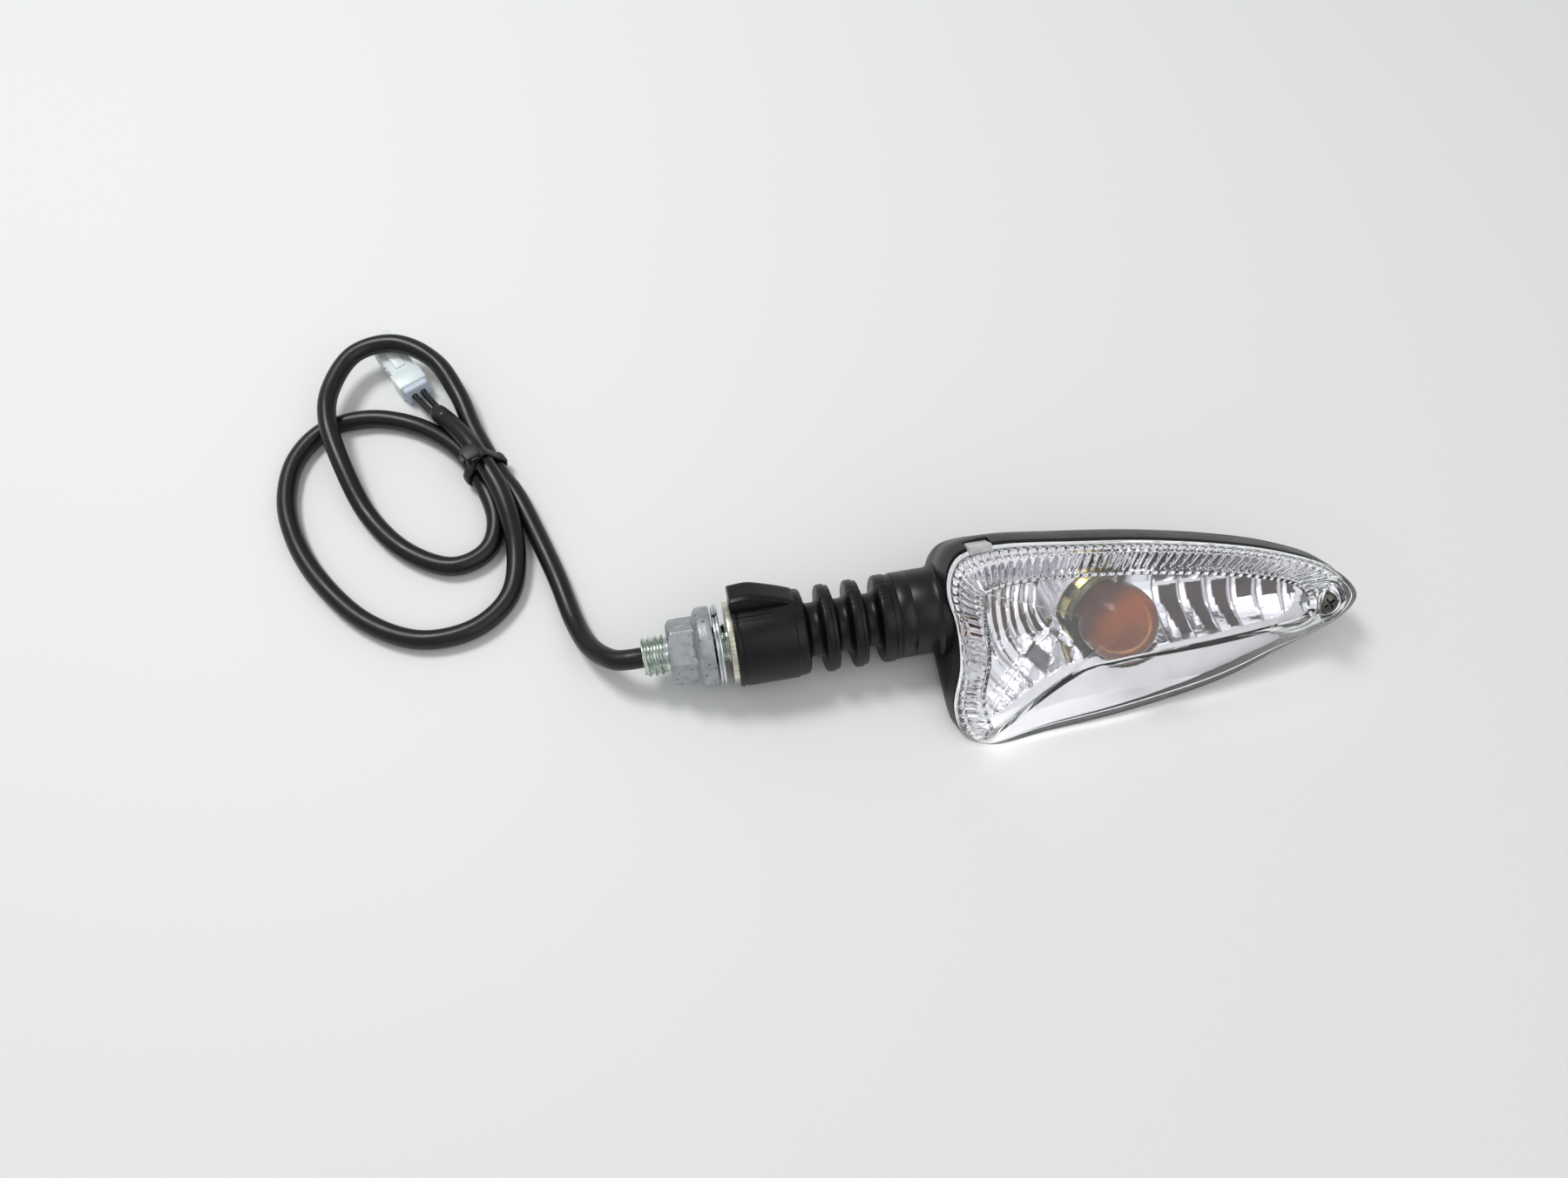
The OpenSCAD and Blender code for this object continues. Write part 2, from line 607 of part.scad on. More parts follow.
// Where the tie holds three runs of the cable, two below and one on top of them.
tie_at = [-55, 66];
tie_turn = 116;
tie_low = -7.4;            // height of the two lower runs inside the tie
tie_spread = 2.6;
tie_rise = 4.6;
module tie_outline(r) hull() {
    for (s = [-1, 1]) translate([s * tie_spread, 0]) circle(r = r, $fn = 32);
    translate([0, tie_rise]) circle(r = r, $fn = 32);
}
module cable_tie() color("black") translate([tie_at[0], tie_at[1], tie_low]) rotate([0, 0, tie_turn])
    rotate([90, 0, 90]) {
        translate([0, 0, -tie_w / 2]) linear_extrude(tie_w) difference() {
            tie_outline(cable_r + slip + tie_t);
            tie_outline(cable_r + slip);
        }
        translate([0, tie_rise + cable_r + slip + tie_t * 0.5, -2.2]) cube([4.4, 2.8, 4.4]);
    }

// Boot that closes the cable's jacket, where its two core wires come out.
boot_l = 5;
cable_end = cable_path[len(cable_path) - 1];
boot_dir = unit(cable_end - cable_path[len(cable_path) - 2]);
boot_end = cable_end + (boot_l + slip) * boot_dir;
module cable_boot() color("#1a1b1e") translate(cable_end)
    rotate([0, acos(boot_dir[2]), atan2(boot_dir[1], boot_dir[0])]) cylinder(h = boot_l, r = cable_r);

// Connector lying on the floor with its wire end towards the boot.
plug_at = [-71.5, 95];
plug_turn = 116;
plug_w = 7;
plug_h = 5.2;
plug_collar_l = 6;
plug_seal_l = 2;
core_pitch = 1.3;
plug_z = floor_z + plug_h / 2 + 0.3;
module in_plug() translate([plug_at[0], plug_at[1], plug_z]) rotate([0, 0, plug_turn]) children();
module plug_bores(r, a, b) for (s = [-1, 1]) translate([a, s * core_pitch, 0]) rotate([0, 90, 0])
    cylinder(h = b - a, r = r, $fn = 32);

module connector_seal() color("lightsteelblue") in_plug() difference() {
    translate([0, -plug_w / 2, -plug_h / 2]) cube([plug_seal_l, plug_w, plug_h]);
    plug_bores(core_r + slip, -1, plug_seal_l + 1);
}

module connector_housing() color("white") in_plug() difference() {
    union() {
        translate([plug_seal_l, -plug_w / 2 - 0.7, -plug_h / 2 - 0.3])
            cube([plug_collar_l, plug_w + 1.4, plug_h + 0.6]);
        translate([plug_seal_l, -plug_w / 2, -plug_h / 2 - 0.3]) cube([plug_l, plug_w, plug_h + 0.3]);
    }
    plug_bores(core_r + 2 * slip, 0, plug_l + 4);
}

module connector_terminals() color("gold") in_plug() difference() {
    plug_bores(core_r, plug_seal_l + 3, plug_seal_l + plug_l - 1);
    plug_bores(0.5, plug_seal_l + 6, plug_seal_l + plug_l);
}

function plug_point(p) = [plug_at[0] + p[0] * cos(plug_turn) - p[1] * sin(plug_turn),
    plug_at[1] + p[0] * sin(plug_turn) + p[1] * cos(plug_turn), plug_z];
across = unit(cross(boot_dir, [0, 0, 1]));
function tail_route(s) = [boot_end - s * 1.1 * across, boot_end + 1.5 * boot_dir - s * 1.1 * across,
    plug_point([-1.5, s * core_pitch]), plug_point([0, s * core_pitch]),
    plug_point([plug_seal_l + 3, s * core_pitch])];
module tail_wires() color("black") for (s = [-1, 1]) tube(open_curve(tail_route(s), 3), core_r, 8);

stud();
base_plate();
rubber_base();
neck_1();
stalk_disc_1();
neck_2();
stalk_disc_2();
neck_3();
stalk_collar();
stem_clip();
stalk_lead();
housing();
lens_gasket();
reflector();
lens();
lens_screw();
screw_seal();
bulb_glass();
bulb_filament();
bulb_base();
bulb_contact();
socket_shell();
socket_plunger();
socket_spring();
socket_base();
signal_wire();
ground_wire();
lock_washer();
flange_nut();
cable();
cable_tie();
cable_boot();
tail_wires();
connector_housing();
connector_seal();
connector_terminals();
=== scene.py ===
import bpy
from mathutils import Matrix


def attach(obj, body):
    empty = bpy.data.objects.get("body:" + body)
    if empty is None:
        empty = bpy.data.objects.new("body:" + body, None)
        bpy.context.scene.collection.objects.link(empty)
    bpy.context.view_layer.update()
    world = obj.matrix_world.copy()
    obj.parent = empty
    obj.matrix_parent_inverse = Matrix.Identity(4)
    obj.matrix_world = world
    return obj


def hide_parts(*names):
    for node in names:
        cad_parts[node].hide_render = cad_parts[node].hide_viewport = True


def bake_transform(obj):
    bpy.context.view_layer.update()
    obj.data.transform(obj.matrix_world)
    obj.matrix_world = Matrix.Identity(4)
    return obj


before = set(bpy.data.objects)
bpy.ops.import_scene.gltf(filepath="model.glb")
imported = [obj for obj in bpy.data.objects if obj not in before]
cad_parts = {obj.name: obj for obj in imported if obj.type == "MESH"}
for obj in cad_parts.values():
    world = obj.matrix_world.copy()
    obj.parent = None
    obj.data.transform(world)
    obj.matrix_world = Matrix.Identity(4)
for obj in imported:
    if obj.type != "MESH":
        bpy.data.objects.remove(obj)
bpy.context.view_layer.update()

from math import cos, pi, radians, sin

import bmesh
import bpy
import numpy as np
from mathutils import Matrix, Vector

# ---- Camera ------------------------------------------------------------------------------------
# Stands in front of the object and looks down on it at 62 degrees, a little from the left, with a
# 28 mm lens about 29 cm away.
camera = bpy.data.objects.new("camera", bpy.data.cameras.new("camera"))
camera.data.lens = 28
camera.data.sensor_width = 36
camera.location = (-0.009734, -0.126336, 0.264723)
camera.rotation_euler = (radians(28), 0, radians(-10.5))
bpy.context.scene.collection.objects.link(camera)
bpy.context.scene.camera = camera

# ---- Lead: the cable ---------------------------------------------------------------------------
# The indicator's two-core lead, 5 mm round PVC jacket, extruded and semi-gloss. It leaves the hollow
# stud, runs through the tie, round one loop, back through the tie, round a wider loop and ends on
# top of the other two runs. It was folded flat in its bag, which left five small creases.
MM = 0.001
CABLE_R = 2.5
CABLE_ROUTE = [
    (-20.5, 0, 0), (-23.5, 0, 0), (-28, 1.6, -1.6), (-33, 7.5, -5), (-36.5, 17, -8.1),
    (-39.5, 30, -8.5), (-43.5, 44, -8.3), (-47.5, 56, -7.4), (-52.7, 67, -7.4), (-57.2, 79, -7.2),
    (-60.5, 91, -5.8), (-66, 102, -3.4), (-76, 109, -2.4), (-87, 107.5, -2.5), (-93.5, 98, -2.9),
    (-95, 87, -3), (-92, 73, -5), (-86.5, 58, -8.2), (-77.5, 45.5, -8.5), (-66, 38.5, -8.5),
    (-56.5, 41.5, -8.5), (-53.5, 51, -8), (-57.3, 65, -7.4), (-63, 75.5, -7.7), (-73, 84.5, -8.5),
    (-85, 89, -8.5), (-97, 87.5, -8.5), (-105, 79, -8.5), (-107.5, 66.5, -8.5), (-105, 53, -8.5),
    (-98.5, 39.5, -8.5), (-88, 26.5, -8.5), (-75, 19, -8.5), (-61.5, 19.5, -8.5), (-52, 27, -8.5),
    (-49, 39, -7.2), (-50.3, 53, -3.8), (-55, 66, -2.8), (-60, 76, -3.4), (-64, 82.5, -5.2),
]


def colour(code):
    """An sRGB hex value as a linear colour."""
    parts = [int(code[i:i + 2], 16) / 255 for i in (1, 3, 5)]
    return [c / 12.92 if c <= 0.04045 else ((c + 0.055) / 1.055) ** 2.4 for c in parts] + [1]


def add(tree, kind, settings={}, inputs={}):
    """A node with its settings, and its inputs as values or as sockets to link."""
    node = tree.nodes.new("ShaderNode" + kind)
    for key, value in settings.items():
        setattr(node, key, value)
    for key, value in inputs.items():
        if isinstance(value, bpy.types.NodeSocket):
            tree.links.new(value, node.inputs[key])
        else:
            node.inputs[key].default_value = value
    return node


def blank(name):
    """A new material and its empty tree of nodes."""
    made = bpy.data.materials.new(name)
    made.use_nodes = True
    made.node_tree.nodes.clear()
    return made, made.node_tree


def noise(tree, place, size, detail, **more):
    """Noise whose patches have a size in mm."""
    return add(tree, "TexNoise", {}, {"Vector": place, "Scale": 1000 / size, "Detail": detail,
                                      **more}).outputs["Fac"]


def span(tree, value, low, high, start=0, end=1):
    """A value stretched so that low gives start and high gives end."""
    return add(tree, "MapRange", {}, {"Value": value, "From Min": low, "From Max": high,
                                      "To Min": start, "To Max": end}).outputs["Result"]


def mix(tree, share, first, second):
    """A colour between two, which are hex values or sockets."""
    first, second = (colour(c) if isinstance(c, str) else c for c in (first, second))
    return add(tree, "Mix", {"data_type": "RGBA"}, {0: share, 6: first, 7: second}).outputs[2]


def relief(tree, height, depth, strength=1):
    """The normal of a surface with bumps of a depth in mm."""
    return add(tree, "Bump", {}, {"Height": height, "Distance": depth * MM,
                                  "Strength": strength}).outputs["Normal"]


def show(tree, shader):
    """Makes a shader node the surface of its material."""
    add(tree, "OutputMaterial", {}, {"Surface": shader.outputs[0]})


def finish(name, main, patch, patch_size, roughness, grain, depth, specks=None, **shader):
    """A surface that drifts from its main colour to another over patch_size, as its roughness drifts
    between two values, with a grain of a size and depth and perhaps specks of a size, colour and
    share. All sizes are in mm."""
    made, tree = blank(name)
    place = add(tree, "TexCoord").outputs["Object"]
    drift = noise(tree, place, patch_size, 5, Roughness=0.6)
    tint = mix(tree, span(tree, drift, 0.36, 0.64), main, patch)
    if specks:
        size, speck, most = specks
        tint = mix(tree, span(tree, noise(tree, place, size, 2), most, most + 0.06), tint, speck)
    show(tree, add(tree, "BsdfPrincipled", {}, {
        "Base Color": tint, "Roughness": span(tree, drift, 0.3, 0.7, *roughness),
        "Normal": relief(tree, noise(tree, place, grain, 3), depth),
        **{key.replace("_", " "): value for key, value in shader.items()}}))
    return made


def between(a, b, c, d, t):
    """A point of a smooth curve, t of the way from b to c."""
    return 0.5 * (2 * b + (c - a) * t + (2 * a - 5 * b + 4 * c - d) * t * t
                  + (3 * b - a - 3 * c + d) * t ** 3)


def run(keys, steps):
    """A smooth open route through its points."""
    keys = np.array(keys, float)
    last = len(keys) - 1
    return np.array([between(keys[max(i - 1, 0)], keys[i], keys[i + 1], keys[min(i + 2, last)],
                             s / steps) for i in range(last) for s in range(steps)] + [keys[last]])


def make(name, points, faces, material, sharp=35):
    """A piece from its points in mm. Edges that turn more than sharp degrees stay crisp."""
    mesh = bpy.data.meshes.new(name)
    mesh.from_pydata([Vector(p) * MM for p in points], [], faces)
    work = bmesh.new()
    work.from_mesh(mesh)
    bmesh.ops.remove_doubles(work, verts=work.verts, dist=1e-7)
    bmesh.ops.recalc_face_normals(work, faces=work.faces)
    work.to_mesh(mesh)
    work.free()
    mesh.shade_smooth()
    mesh.set_sharp_from_angle(angle=radians(sharp))
    mesh.materials.append(material)
    made = bpy.data.objects.new(name, mesh)
    bpy.context.scene.collection.objects.link(made)
    return made


def seat(piece, body, slot, *nodes):
    """The piece rides on a body and stands for CAD nodes, which it hides. The slot is not used."""
    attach(piece, body)
    if nodes:
        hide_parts(*nodes)
    return piece


def skin(rings, closed=False, caps=True):
    """Points and faces over rings of equal length, with capped ends unless the rings close up."""
    count, size = len(rings), len(rings[0])
    points = [tuple(p) for ring in rings for p in ring]
    faces = []
    for i in range(count if closed else count - 1):
        a, b = i * size, (i + 1) % count * size
        faces += [(a + j, a + (j + 1) % size, b + (j + 1) % size, b + j) for j in range(size)]
    if caps and not closed:
        faces += [tuple(range(size))[::-1], tuple(range((count - 1) * size, count * size))]
    return points, faces


def tube(path, sides, radius):
    """Rings round a path in space that don't twist. radius(i, angle) is in mm."""
    path = np.array(path, float)
    rings, across = [], None
    for i, here in enumerate(path):
        along = path[min(i + 1, len(path) - 1)] - path[max(i - 1, 0)]
        along /= np.linalg.norm(along)
        if across is None:
            across = np.cross((0, 0, 1) if abs(along[2]) < 0.9 else (1, 0, 0), along)
        across = across - along * (across @ along)
        across /= np.linalg.norm(across)
        other = np.cross(along, across)
        rings.append([here + radius(i, a) * (cos(a) * across + sin(a) * other)
                      for a in np.arange(sides) * 2 * pi / sides])
    return rings


# Extruded PVC is smooth, with a soft gloss that gives long thin highlights, and its surface waves
# faintly where the cores press from inside.
cable_pvc = finish("cable_pvc", "#060708", "#0a0b0d", 9, (0.3, 0.42), 1.6, 0.03,
                   specks=(0.5, "#3a3a39", 0.78), IOR=1.53, Specular_IOR_Level=0.4)
# Each crease has a place, a depth as a share of the radius and a width.
CREASES = [(-53.5, 68.5, 0.16, 2.2), (-66, 102, 0.1, 2.6), (-93.5, 88, 0.08, 2.5),
           (-50, 62, 0.1, 2.2), (-104, 56, 0.07, 3)]
cable_line = np.vstack([CABLE_ROUTE[0], run(CABLE_ROUTE[1:], 10)])


def cable_radius(i, angle):
    """The jacket's radius, flattened a little where it was creased."""
    here_x, here_y = cable_line[i][:2]
    pinch = sum(depth * np.exp(-((here_x - x) ** 2 + (here_y - y) ** 2) / width ** 2)
                for x, y, depth, width in CREASES)
    return CABLE_R * (1 - pinch * (0.35 + 0.65 * cos(2 * angle + 0.9) ** 2))


cable = make("lead_cable", *skin(tube(cable_line, 20, cable_radius)), cable_pvc)
seat(cable, "mount_side", "cable_jacket", "cable")

# ---- Lead: the cable tie -----------------------------------------------------------------------
# A 2.5 mm black nylon cable tie pulled round the three runs. Its ratchet head stands on top with the
# tail cut short, and the band's teeth show as fine cross ribs on its outside edge.
TIE_AT, TIE_TURN, TIE_LOW = (-55, 66), radians(116), -7.4
TIE_SPREAD, TIE_RISE, TIE_R, TIE_T, TIE_LEAN = 2.6, 4.6, 2.6, 1.0, 60.5
tie_nylon = finish("tie_nylon_moulded", "#101113", "#17181a", 3, (0.38, 0.52), 0.3, 0.02, IOR=1.53)


def arc(middle, radius, start, end, steps):
    """Points on an arc between two angles in degrees."""
    return [(middle[0] + radius * cos(radians(a)), middle[1] + radius * sin(radians(a)))
            for a in np.linspace(start, end, steps)]


def rounded(corners, steps=3):
    """A closed outline of (x, y, cut) corners, each rounded off over its cut."""
    line = []
    for i, (x, y, cut) in enumerate(corners):
        here = np.array((x, y), float)
        if not cut:
            line.append(here)
            continue
        ends = []
        for j in (i - 1, (i + 1) % len(corners)):
            side = np.array(corners[j][:2], float) - here
            ends.append(here + side * min(cut / np.linalg.norm(side), 0.48))
        line += [(1 - t) ** 2 * ends[0] + 2 * t * (1 - t) * here + t * t * ends[1]
                 for t in np.linspace(0, 1, steps + 1)]
    return line


def block(x, y, z, cut):
    """A box with rounded edges, between two values on each axis."""
    rings = []
    for level, inset in ((z[0], cut), (z[0] + cut * 0.3, cut * 0.3), (z[0] + cut, 0),
                         (z[1] - cut, 0), (z[1] - cut * 0.3, cut * 0.3), (z[1], cut)):
        outline = rounded([(x[0] + inset, y[0] + inset, cut), (x[1] - inset, y[0] + inset, cut),
                           (x[1] - inset, y[1] - inset, cut), (x[0] + inset, y[1] - inset, cut)])
        rings.append([(p[0], p[1], level) for p in outline])
    return skin(rings)


def join(*parts):
    """Several lists of points and faces as one."""
    points, faces = [], []
    for some, more in parts:
        faces += [tuple(i + len(points) for i in face) for face in more]
        points += [tuple(p) for p in some]
    return points, faces


def moved(part, matrix):
    """Points and faces, with the points moved by a matrix."""
    return [tuple(matrix @ Vector(p)) for p in part[0]], part[1]


def tie_outline(radius):
    """Round the two lower runs and the upper one, and straight between them."""
    return (arc((-TIE_SPREAD, 0), radius, 180, 270, 8)
            + arc((TIE_SPREAD, 0), radius, -90, TIE_LEAN, 12)
            + arc((0, TIE_RISE), radius, TIE_LEAN, 180 - TIE_LEAN, 10)
            + arc((-TIE_SPREAD, 0), radius, 180 - TIE_LEAN, 175, 6))


def tie_band():
    """A band with a tooth at every other step of its outside."""
    inner, outer = tie_outline(TIE_R), tie_outline(TIE_R + TIE_T)
    rings = []
    for i, (p, q) in enumerate(zip(inner, outer)):
        p, q = np.array(p), np.array(q)
        q = q - (q - p) * (0.14 if i % 2 else 0)
        rings.append([(*(p + (q - p) * s), w) for s, w in (
            (0.02, -1.1), (0.02, 1.1), (0.3, 1.3), (0.75, 1.3), (0.98, 1.0), (0.98, -1.0),
            (0.75, -1.3), (0.3, -1.3))])
    return skin(rings, closed=True)


tie_frame = (Matrix.Translation((*TIE_AT, TIE_LOW)) @ Matrix.Rotation(TIE_TURN, 4, "Z")
             @ Matrix(((0, 0, 1, 0), (1, 0, 0, 0), (0, 1, 0, 0), (0, 0, 0, 1))))
tie_top = TIE_RISE + TIE_R + TIE_T * 0.5
tie = make("nylon_tie", *moved(join(
    tie_band(), block((0, 4.4), (tie_top, tie_top + 2.8), (-2.2, 2.2), 0.45),
    block((1.2, 3.2), (tie_top + 0.6, tie_top + 2.2), (-2.7, -2), 0.15),
    block((4.2, 5.3), (tie_top + 0.7, tie_top + 1.7), (-1.25, 1.25), 0.2)), tie_frame), tie_nylon)
seat(tie, "mount_side", "tie_nylon", "cable_tie")

# ---- Lead: boot and core wires -----------------------------------------------------------------
# The jacket ends in a short shrunk sleeve, and the two thin black cores leave it for the connector.
wire_pvc = finish("wire_insulation_pvc", "#0e0f11", "#15161a", 5, (0.3, 0.42), 0.8, 0.02, IOR=1.53)
CORE_R, BOOT_L, CORE_PITCH = 0.9, 5.0, 1.3
PLUG_AT, PLUG_TURN, PLUG_Z = (-71.5, 95), radians(116), -8.1
plug_frame = Matrix.Translation((*PLUG_AT, PLUG_Z)) @ Matrix.Rotation(PLUG_TURN, 4, "Z")
CABLE_END = np.array(CABLE_ROUTE[-1], float)
cable_tip = run(CABLE_ROUTE[1:], 2)
BOOT_DIR = (cable_tip[-1] - cable_tip[-2]) / np.linalg.norm(cable_tip[-1] - cable_tip[-2])
boot_end = CABLE_END + (BOOT_L + 0.1) * BOOT_DIR
boot = make("lead_boot", *skin(tube(
    [CABLE_END + BOOT_DIR * s for s in (0, 0.25, 1.5, 2.5, 3.5, 4.3, 4.8, 5)], 24,
    lambda i, a: (2.35, 2.5, 2.48, 2.5, 2.44, 2.4, 2.25, 1.9)[i])), wire_pvc)
seat(boot, "mount_side", "rubber", "cable_boot")
across = np.cross(BOOT_DIR, (0, 0, 1))
across /= np.linalg.norm(across)
tails = []
for s in (-1, 1):
    ends = [plug_frame @ Vector((x, s * CORE_PITCH, 0)) for x in (-1.5, 0, 5)]
    tails.append(skin(tube(run([boot_end - s * 1.1 * across,
                                boot_end + 1.5 * BOOT_DIR - s * 1.1 * across, *ends], 8), 14,
                           lambda i, a: CORE_R)))
tail_wires = make("lead_cores", *join(*tails), wire_pvc)
seat(tail_wires, "mount_side", "wire_black", "tail_wires")

# ---- Lead: the connector -----------------------------------------------------------------------
# A two-way plug housing moulded in natural nylon, milky white, with a collar, ribs on its sides and
# a latch on top. A pale blue silicone seal closes its wire end. The tinned terminals show inside.
natural_nylon = finish("natural_nylon_moulded", "#eceeee", "#e0e4e6", 6, (0.3, 0.42), 0.6, 0.02,
                       IOR=1.53, Subsurface_Weight=0.25, Subsurface_Scale=0.002)
silicone = finish("silicone_seal", "#c3d0e0", "#cfdae6", 4, (0.4, 0.5), 0.5, 0.02, IOR=1.42)
tinned = finish("tinned_brass", "#cfcabb", "#b8b09a", 2, (0.25, 0.4), 0.3, 0.01, Metallic=1)
plug_ribs = [block((x, x + 0.8), (side * 3.5 - 0.3, side * 3.5 + 0.3), (-2.2, 2), 0.12)
             for x in np.arange(10.5, 19, 1.7) for side in (-1, 1)]


def plug_shell():
    """The body: a blunt-edged sleeve whose mouth is open, with a floor inside."""
    rings = []
    for x, cut in ((2, 0.25), (2.25, 0), (23.6, 0), (24, 0.25), (24, 0.9), (18, 1.0)):
        rings.append([(x, p[0], p[1]) for p in rounded([
            (-3.5 + cut, -2.9 + cut, 0.6), (3.5 - cut, -2.9 + cut, 0.6),
            (3.5 - cut, 2.6 - cut, 0.6), (-3.5 + cut, 2.6 - cut, 0.6)])])
    return skin(rings)


def on_x(part):
    """A block given as (y, z, x) turned to lie along X."""
    return [(p[2], p[0], p[1]) for p in part[0]], part[1]


collar_ring = on_x(block((-4.2, 4.2), (-2.9, 2.9), (2.05, 8), 0.6))
latch = join(block((9, 17), (-1.5, 1.5), (2.45, 3.1), 0.25),
             block((15.6, 17), (-1.5, 1.5), (2.9, 3.3), 0.2))
connector = make("plug_body", *moved(join(plug_shell(), collar_ring, latch, *plug_ribs),
                                      plug_frame), natural_nylon)
seat(connector, "mount_side", "white_nylon", "connector_housing")
seal_body = on_x(block((-3.5, 3.5), (-2.6, 2.6), (0, 2), 0.5))
lips = [on_x(block((-3.6, 3.6), (-2.7, 2.7), (x, x + 0.4), 0.15)) for x in (0.3, 1.1)]
seal = make("plug_seal", *moved(join(seal_body, *lips), plug_frame), silicone)
seat(seal, "mount_side", "blue_seal", "connector_seal")
terminals = make("plug_terminals", *moved(join(*[
    skin(tube([(x, s * CORE_PITCH, 0) for x in (5, 8, 12, 17, 22.8, 23)], 16,
              lambda i, a: (0.88, 0.9, 0.78, 0.9, 0.9, 0.75)[i])) for s in (-1, 1)]), plug_frame),
    tinned)
seat(terminals, "mount_side", "tinned_brass", "connector_terminals")

# ---- Stud --------------------------------------------------------------------------------------
# Hollow steel stud, M10 x 1.5, rolled thread, bright zinc with a faint green passivation. Its crests
# are bright and its roots are dark. A groove ends the free part of the thread.
STUD_R, STUD_END, PITCH, THREAD = 5.0, -20.5, 1.5, 0.8
GROOVE, GROOVE_DEPTH = (-15.25, -14.3), 0.6


def turned(outline, steps=96, reach=lambda x, r, angle: r):
    """A ring of material round the X axis, from a closed outline of (x, r). reach(x, r, angle) may
    change the radius."""
    return skin([[(x, reach(x, r, angle) * cos(angle), reach(x, r, angle) * sin(angle))
                  for x, r in outline] for angle in np.arange(steps) * 2 * pi / steps], closed=True)


def thread(x, r, angle):
    """The stud's radius on its thread, a rounded vee that runs out at the chamfer and the groove."""
    if r < 4.3 or x > -0.2:
        return r
    if GROOVE[0] < x < GROOVE[1]:
        return r - GROOVE_DEPTH
    turn = ((x / PITCH - angle / (2 * pi)) % 1) * 2 - 1
    fade = min(1, max(0, (x - STUD_END + 0.1) / 0.5))
    return r - THREAD * (abs(turn) ** 0.8) * fade


thread_rows = [(x, STUD_R - max(0, STUD_END + 0.5 - x)) for x in np.arange(STUD_END, 0.01, 0.1)]
zinc_thread = finish("zinc_plated_thread", "#e2e8e3", "#b6c0b9", 2.2, (0.12, 0.26), 0.15, 0.006,
                     Metallic=1)
stud_body = turned([(STUD_END, 2.7), (STUD_END, 4.3)] + thread_rows + [
    (1.5, 5), (1.5, 7.5), (4.5, 7.5), (4.5, 5), (11, 5), (11, 2.7)], 96, thread)
stud = make("threaded_stud", *stud_body, zinc_thread, sharp=50)
seat(stud, "mount_side", "zinc_steel", "stud")

# ---- Nut and washer ----------------------------------------------------------------------------
# A flange nut cast in zinc alloy, matte grey with dark pores, its hexagon chamfered at the end and
# running into a round flange over a soft fillet. The split lock washer is bright zinc-plated steel,
# with a groove round its edge that shows it as two thin rings.
NUT_END, FILLET_X, FLANGE_X = -14.3, -9.0, -3.5
NUT_R, CORNER_R, FLANGE_R, NUT_BORE = 7.0, 7.98, 9.75, 5.06
cast_zinc = finish("cast_zinc_alloy", "#aeb1b5", "#9c9fa3", 2.2, (0.34, 0.52), 0.4, 0.06,
                   specks=(0.8, "#55575b", 0.64), Metallic=0.75)


def nut_reach(x, r, angle):
    """Hexagon with rounded corners, one of them at 20 degrees, that fillet and flange outgrow."""
    if r < 5.5:
        return r
    wrap = (angle + radians(10) + pi / 6) % (pi / 3) - pi / 6
    hexagon = min(NUT_R / cos(wrap), CORNER_R, 6.7 + (x - NUT_END) * 1.3)
    if x > FILLET_X:
        grow = min(1, (x - FILLET_X) / 2.6)
        hexagon = max(hexagon, 6.6 + (FLANGE_R - 6.6) * grow * grow * (3 - 2 * grow))
    return min(hexagon, r)


nut_rows = [(x, FLANGE_R) for x in np.concatenate([
    np.arange(NUT_END, -8.5, 0.3), np.arange(-8.5, -6.3, 0.15), (-6.2, -6.0, -5, -3.9)])]
nut_outline = ([(NUT_END, NUT_BORE)] + nut_rows
               + [(-3.62, 9.65), (FLANGE_X, 9.4), (FLANGE_X, NUT_BORE)])
nut = make("nut_casting", *turned(nut_outline, 144, nut_reach), cast_zinc, sharp=26)
seat(nut, "nut", "dull_zinc", "flange_nut")
bright_zinc = finish("bright_zinc_plate", "#dfe2e3", "#c3c8ca", 3, (0.14, 0.26), 0.2, 0.008,
                     Metallic=1)


def split_ring(outline, gap):
    """A ring of material round X that is cut open over a small angle."""
    angles = radians(70) + np.linspace(gap, 2 * pi - gap, 110)
    return skin([[(x + 0.1 * (a - pi) / pi, r * cos(a), r * sin(a)) for x, r in outline]
                 for a in angles])


washer = make("split_washer", *split_ring(rounded([
    (-3.1, 5.4, 0.15), (-3.1, 9.7, 0.25), (-2.5, 9.7, 0.2), (-2.42, 9.2, 0), (-2.36, 9.2, 0),
    (-2.3, 10, 0.25), (-1.65, 10, 0.25), (-1.65, 5.4, 0.15)]), 0.05), bright_zinc)
seat(washer, "nut_travel", "bright_zinc", "lock_washer")

# ---- Base plate --------------------------------------------------------------------------------
# A stamped steel disc with pale yellow zinc plating. Shearing left fine vertical streaks round its
# rim, so its roughness and colour change quickly round the axis and slowly across it.
yellow_zinc, tree = blank("yellow_zinc_plated_steel")
place = add(tree, "TexCoord").outputs["Object"]
stretched = add(tree, "Mapping", {}, {"Vector": place, "Scale": (60, 1800, 1800)}).outputs["Vector"]
streaks = noise(tree, stretched, 1000, 3)
show(tree, add(tree, "BsdfPrincipled", {}, {
    "Base Color": mix(tree, span(tree, streaks, 0.35, 0.65), "#eeecdf", "#b4ae99"), "Metallic": 1,
    "Normal": relief(tree, streaks, 0.04), "Roughness": span(tree, streaks, 0, 1, 0.2, 0.45)}))
plate = make("steel_plate", *turned(rounded([(0, 5.02, 0.1), (0, 10, 0.25), (1.5, 10, 0.15),
                                            (1.5, 5.02, 0.1)])), yellow_zinc)
seat(plate, "mount_side", "yellow_zinc", "base_plate")

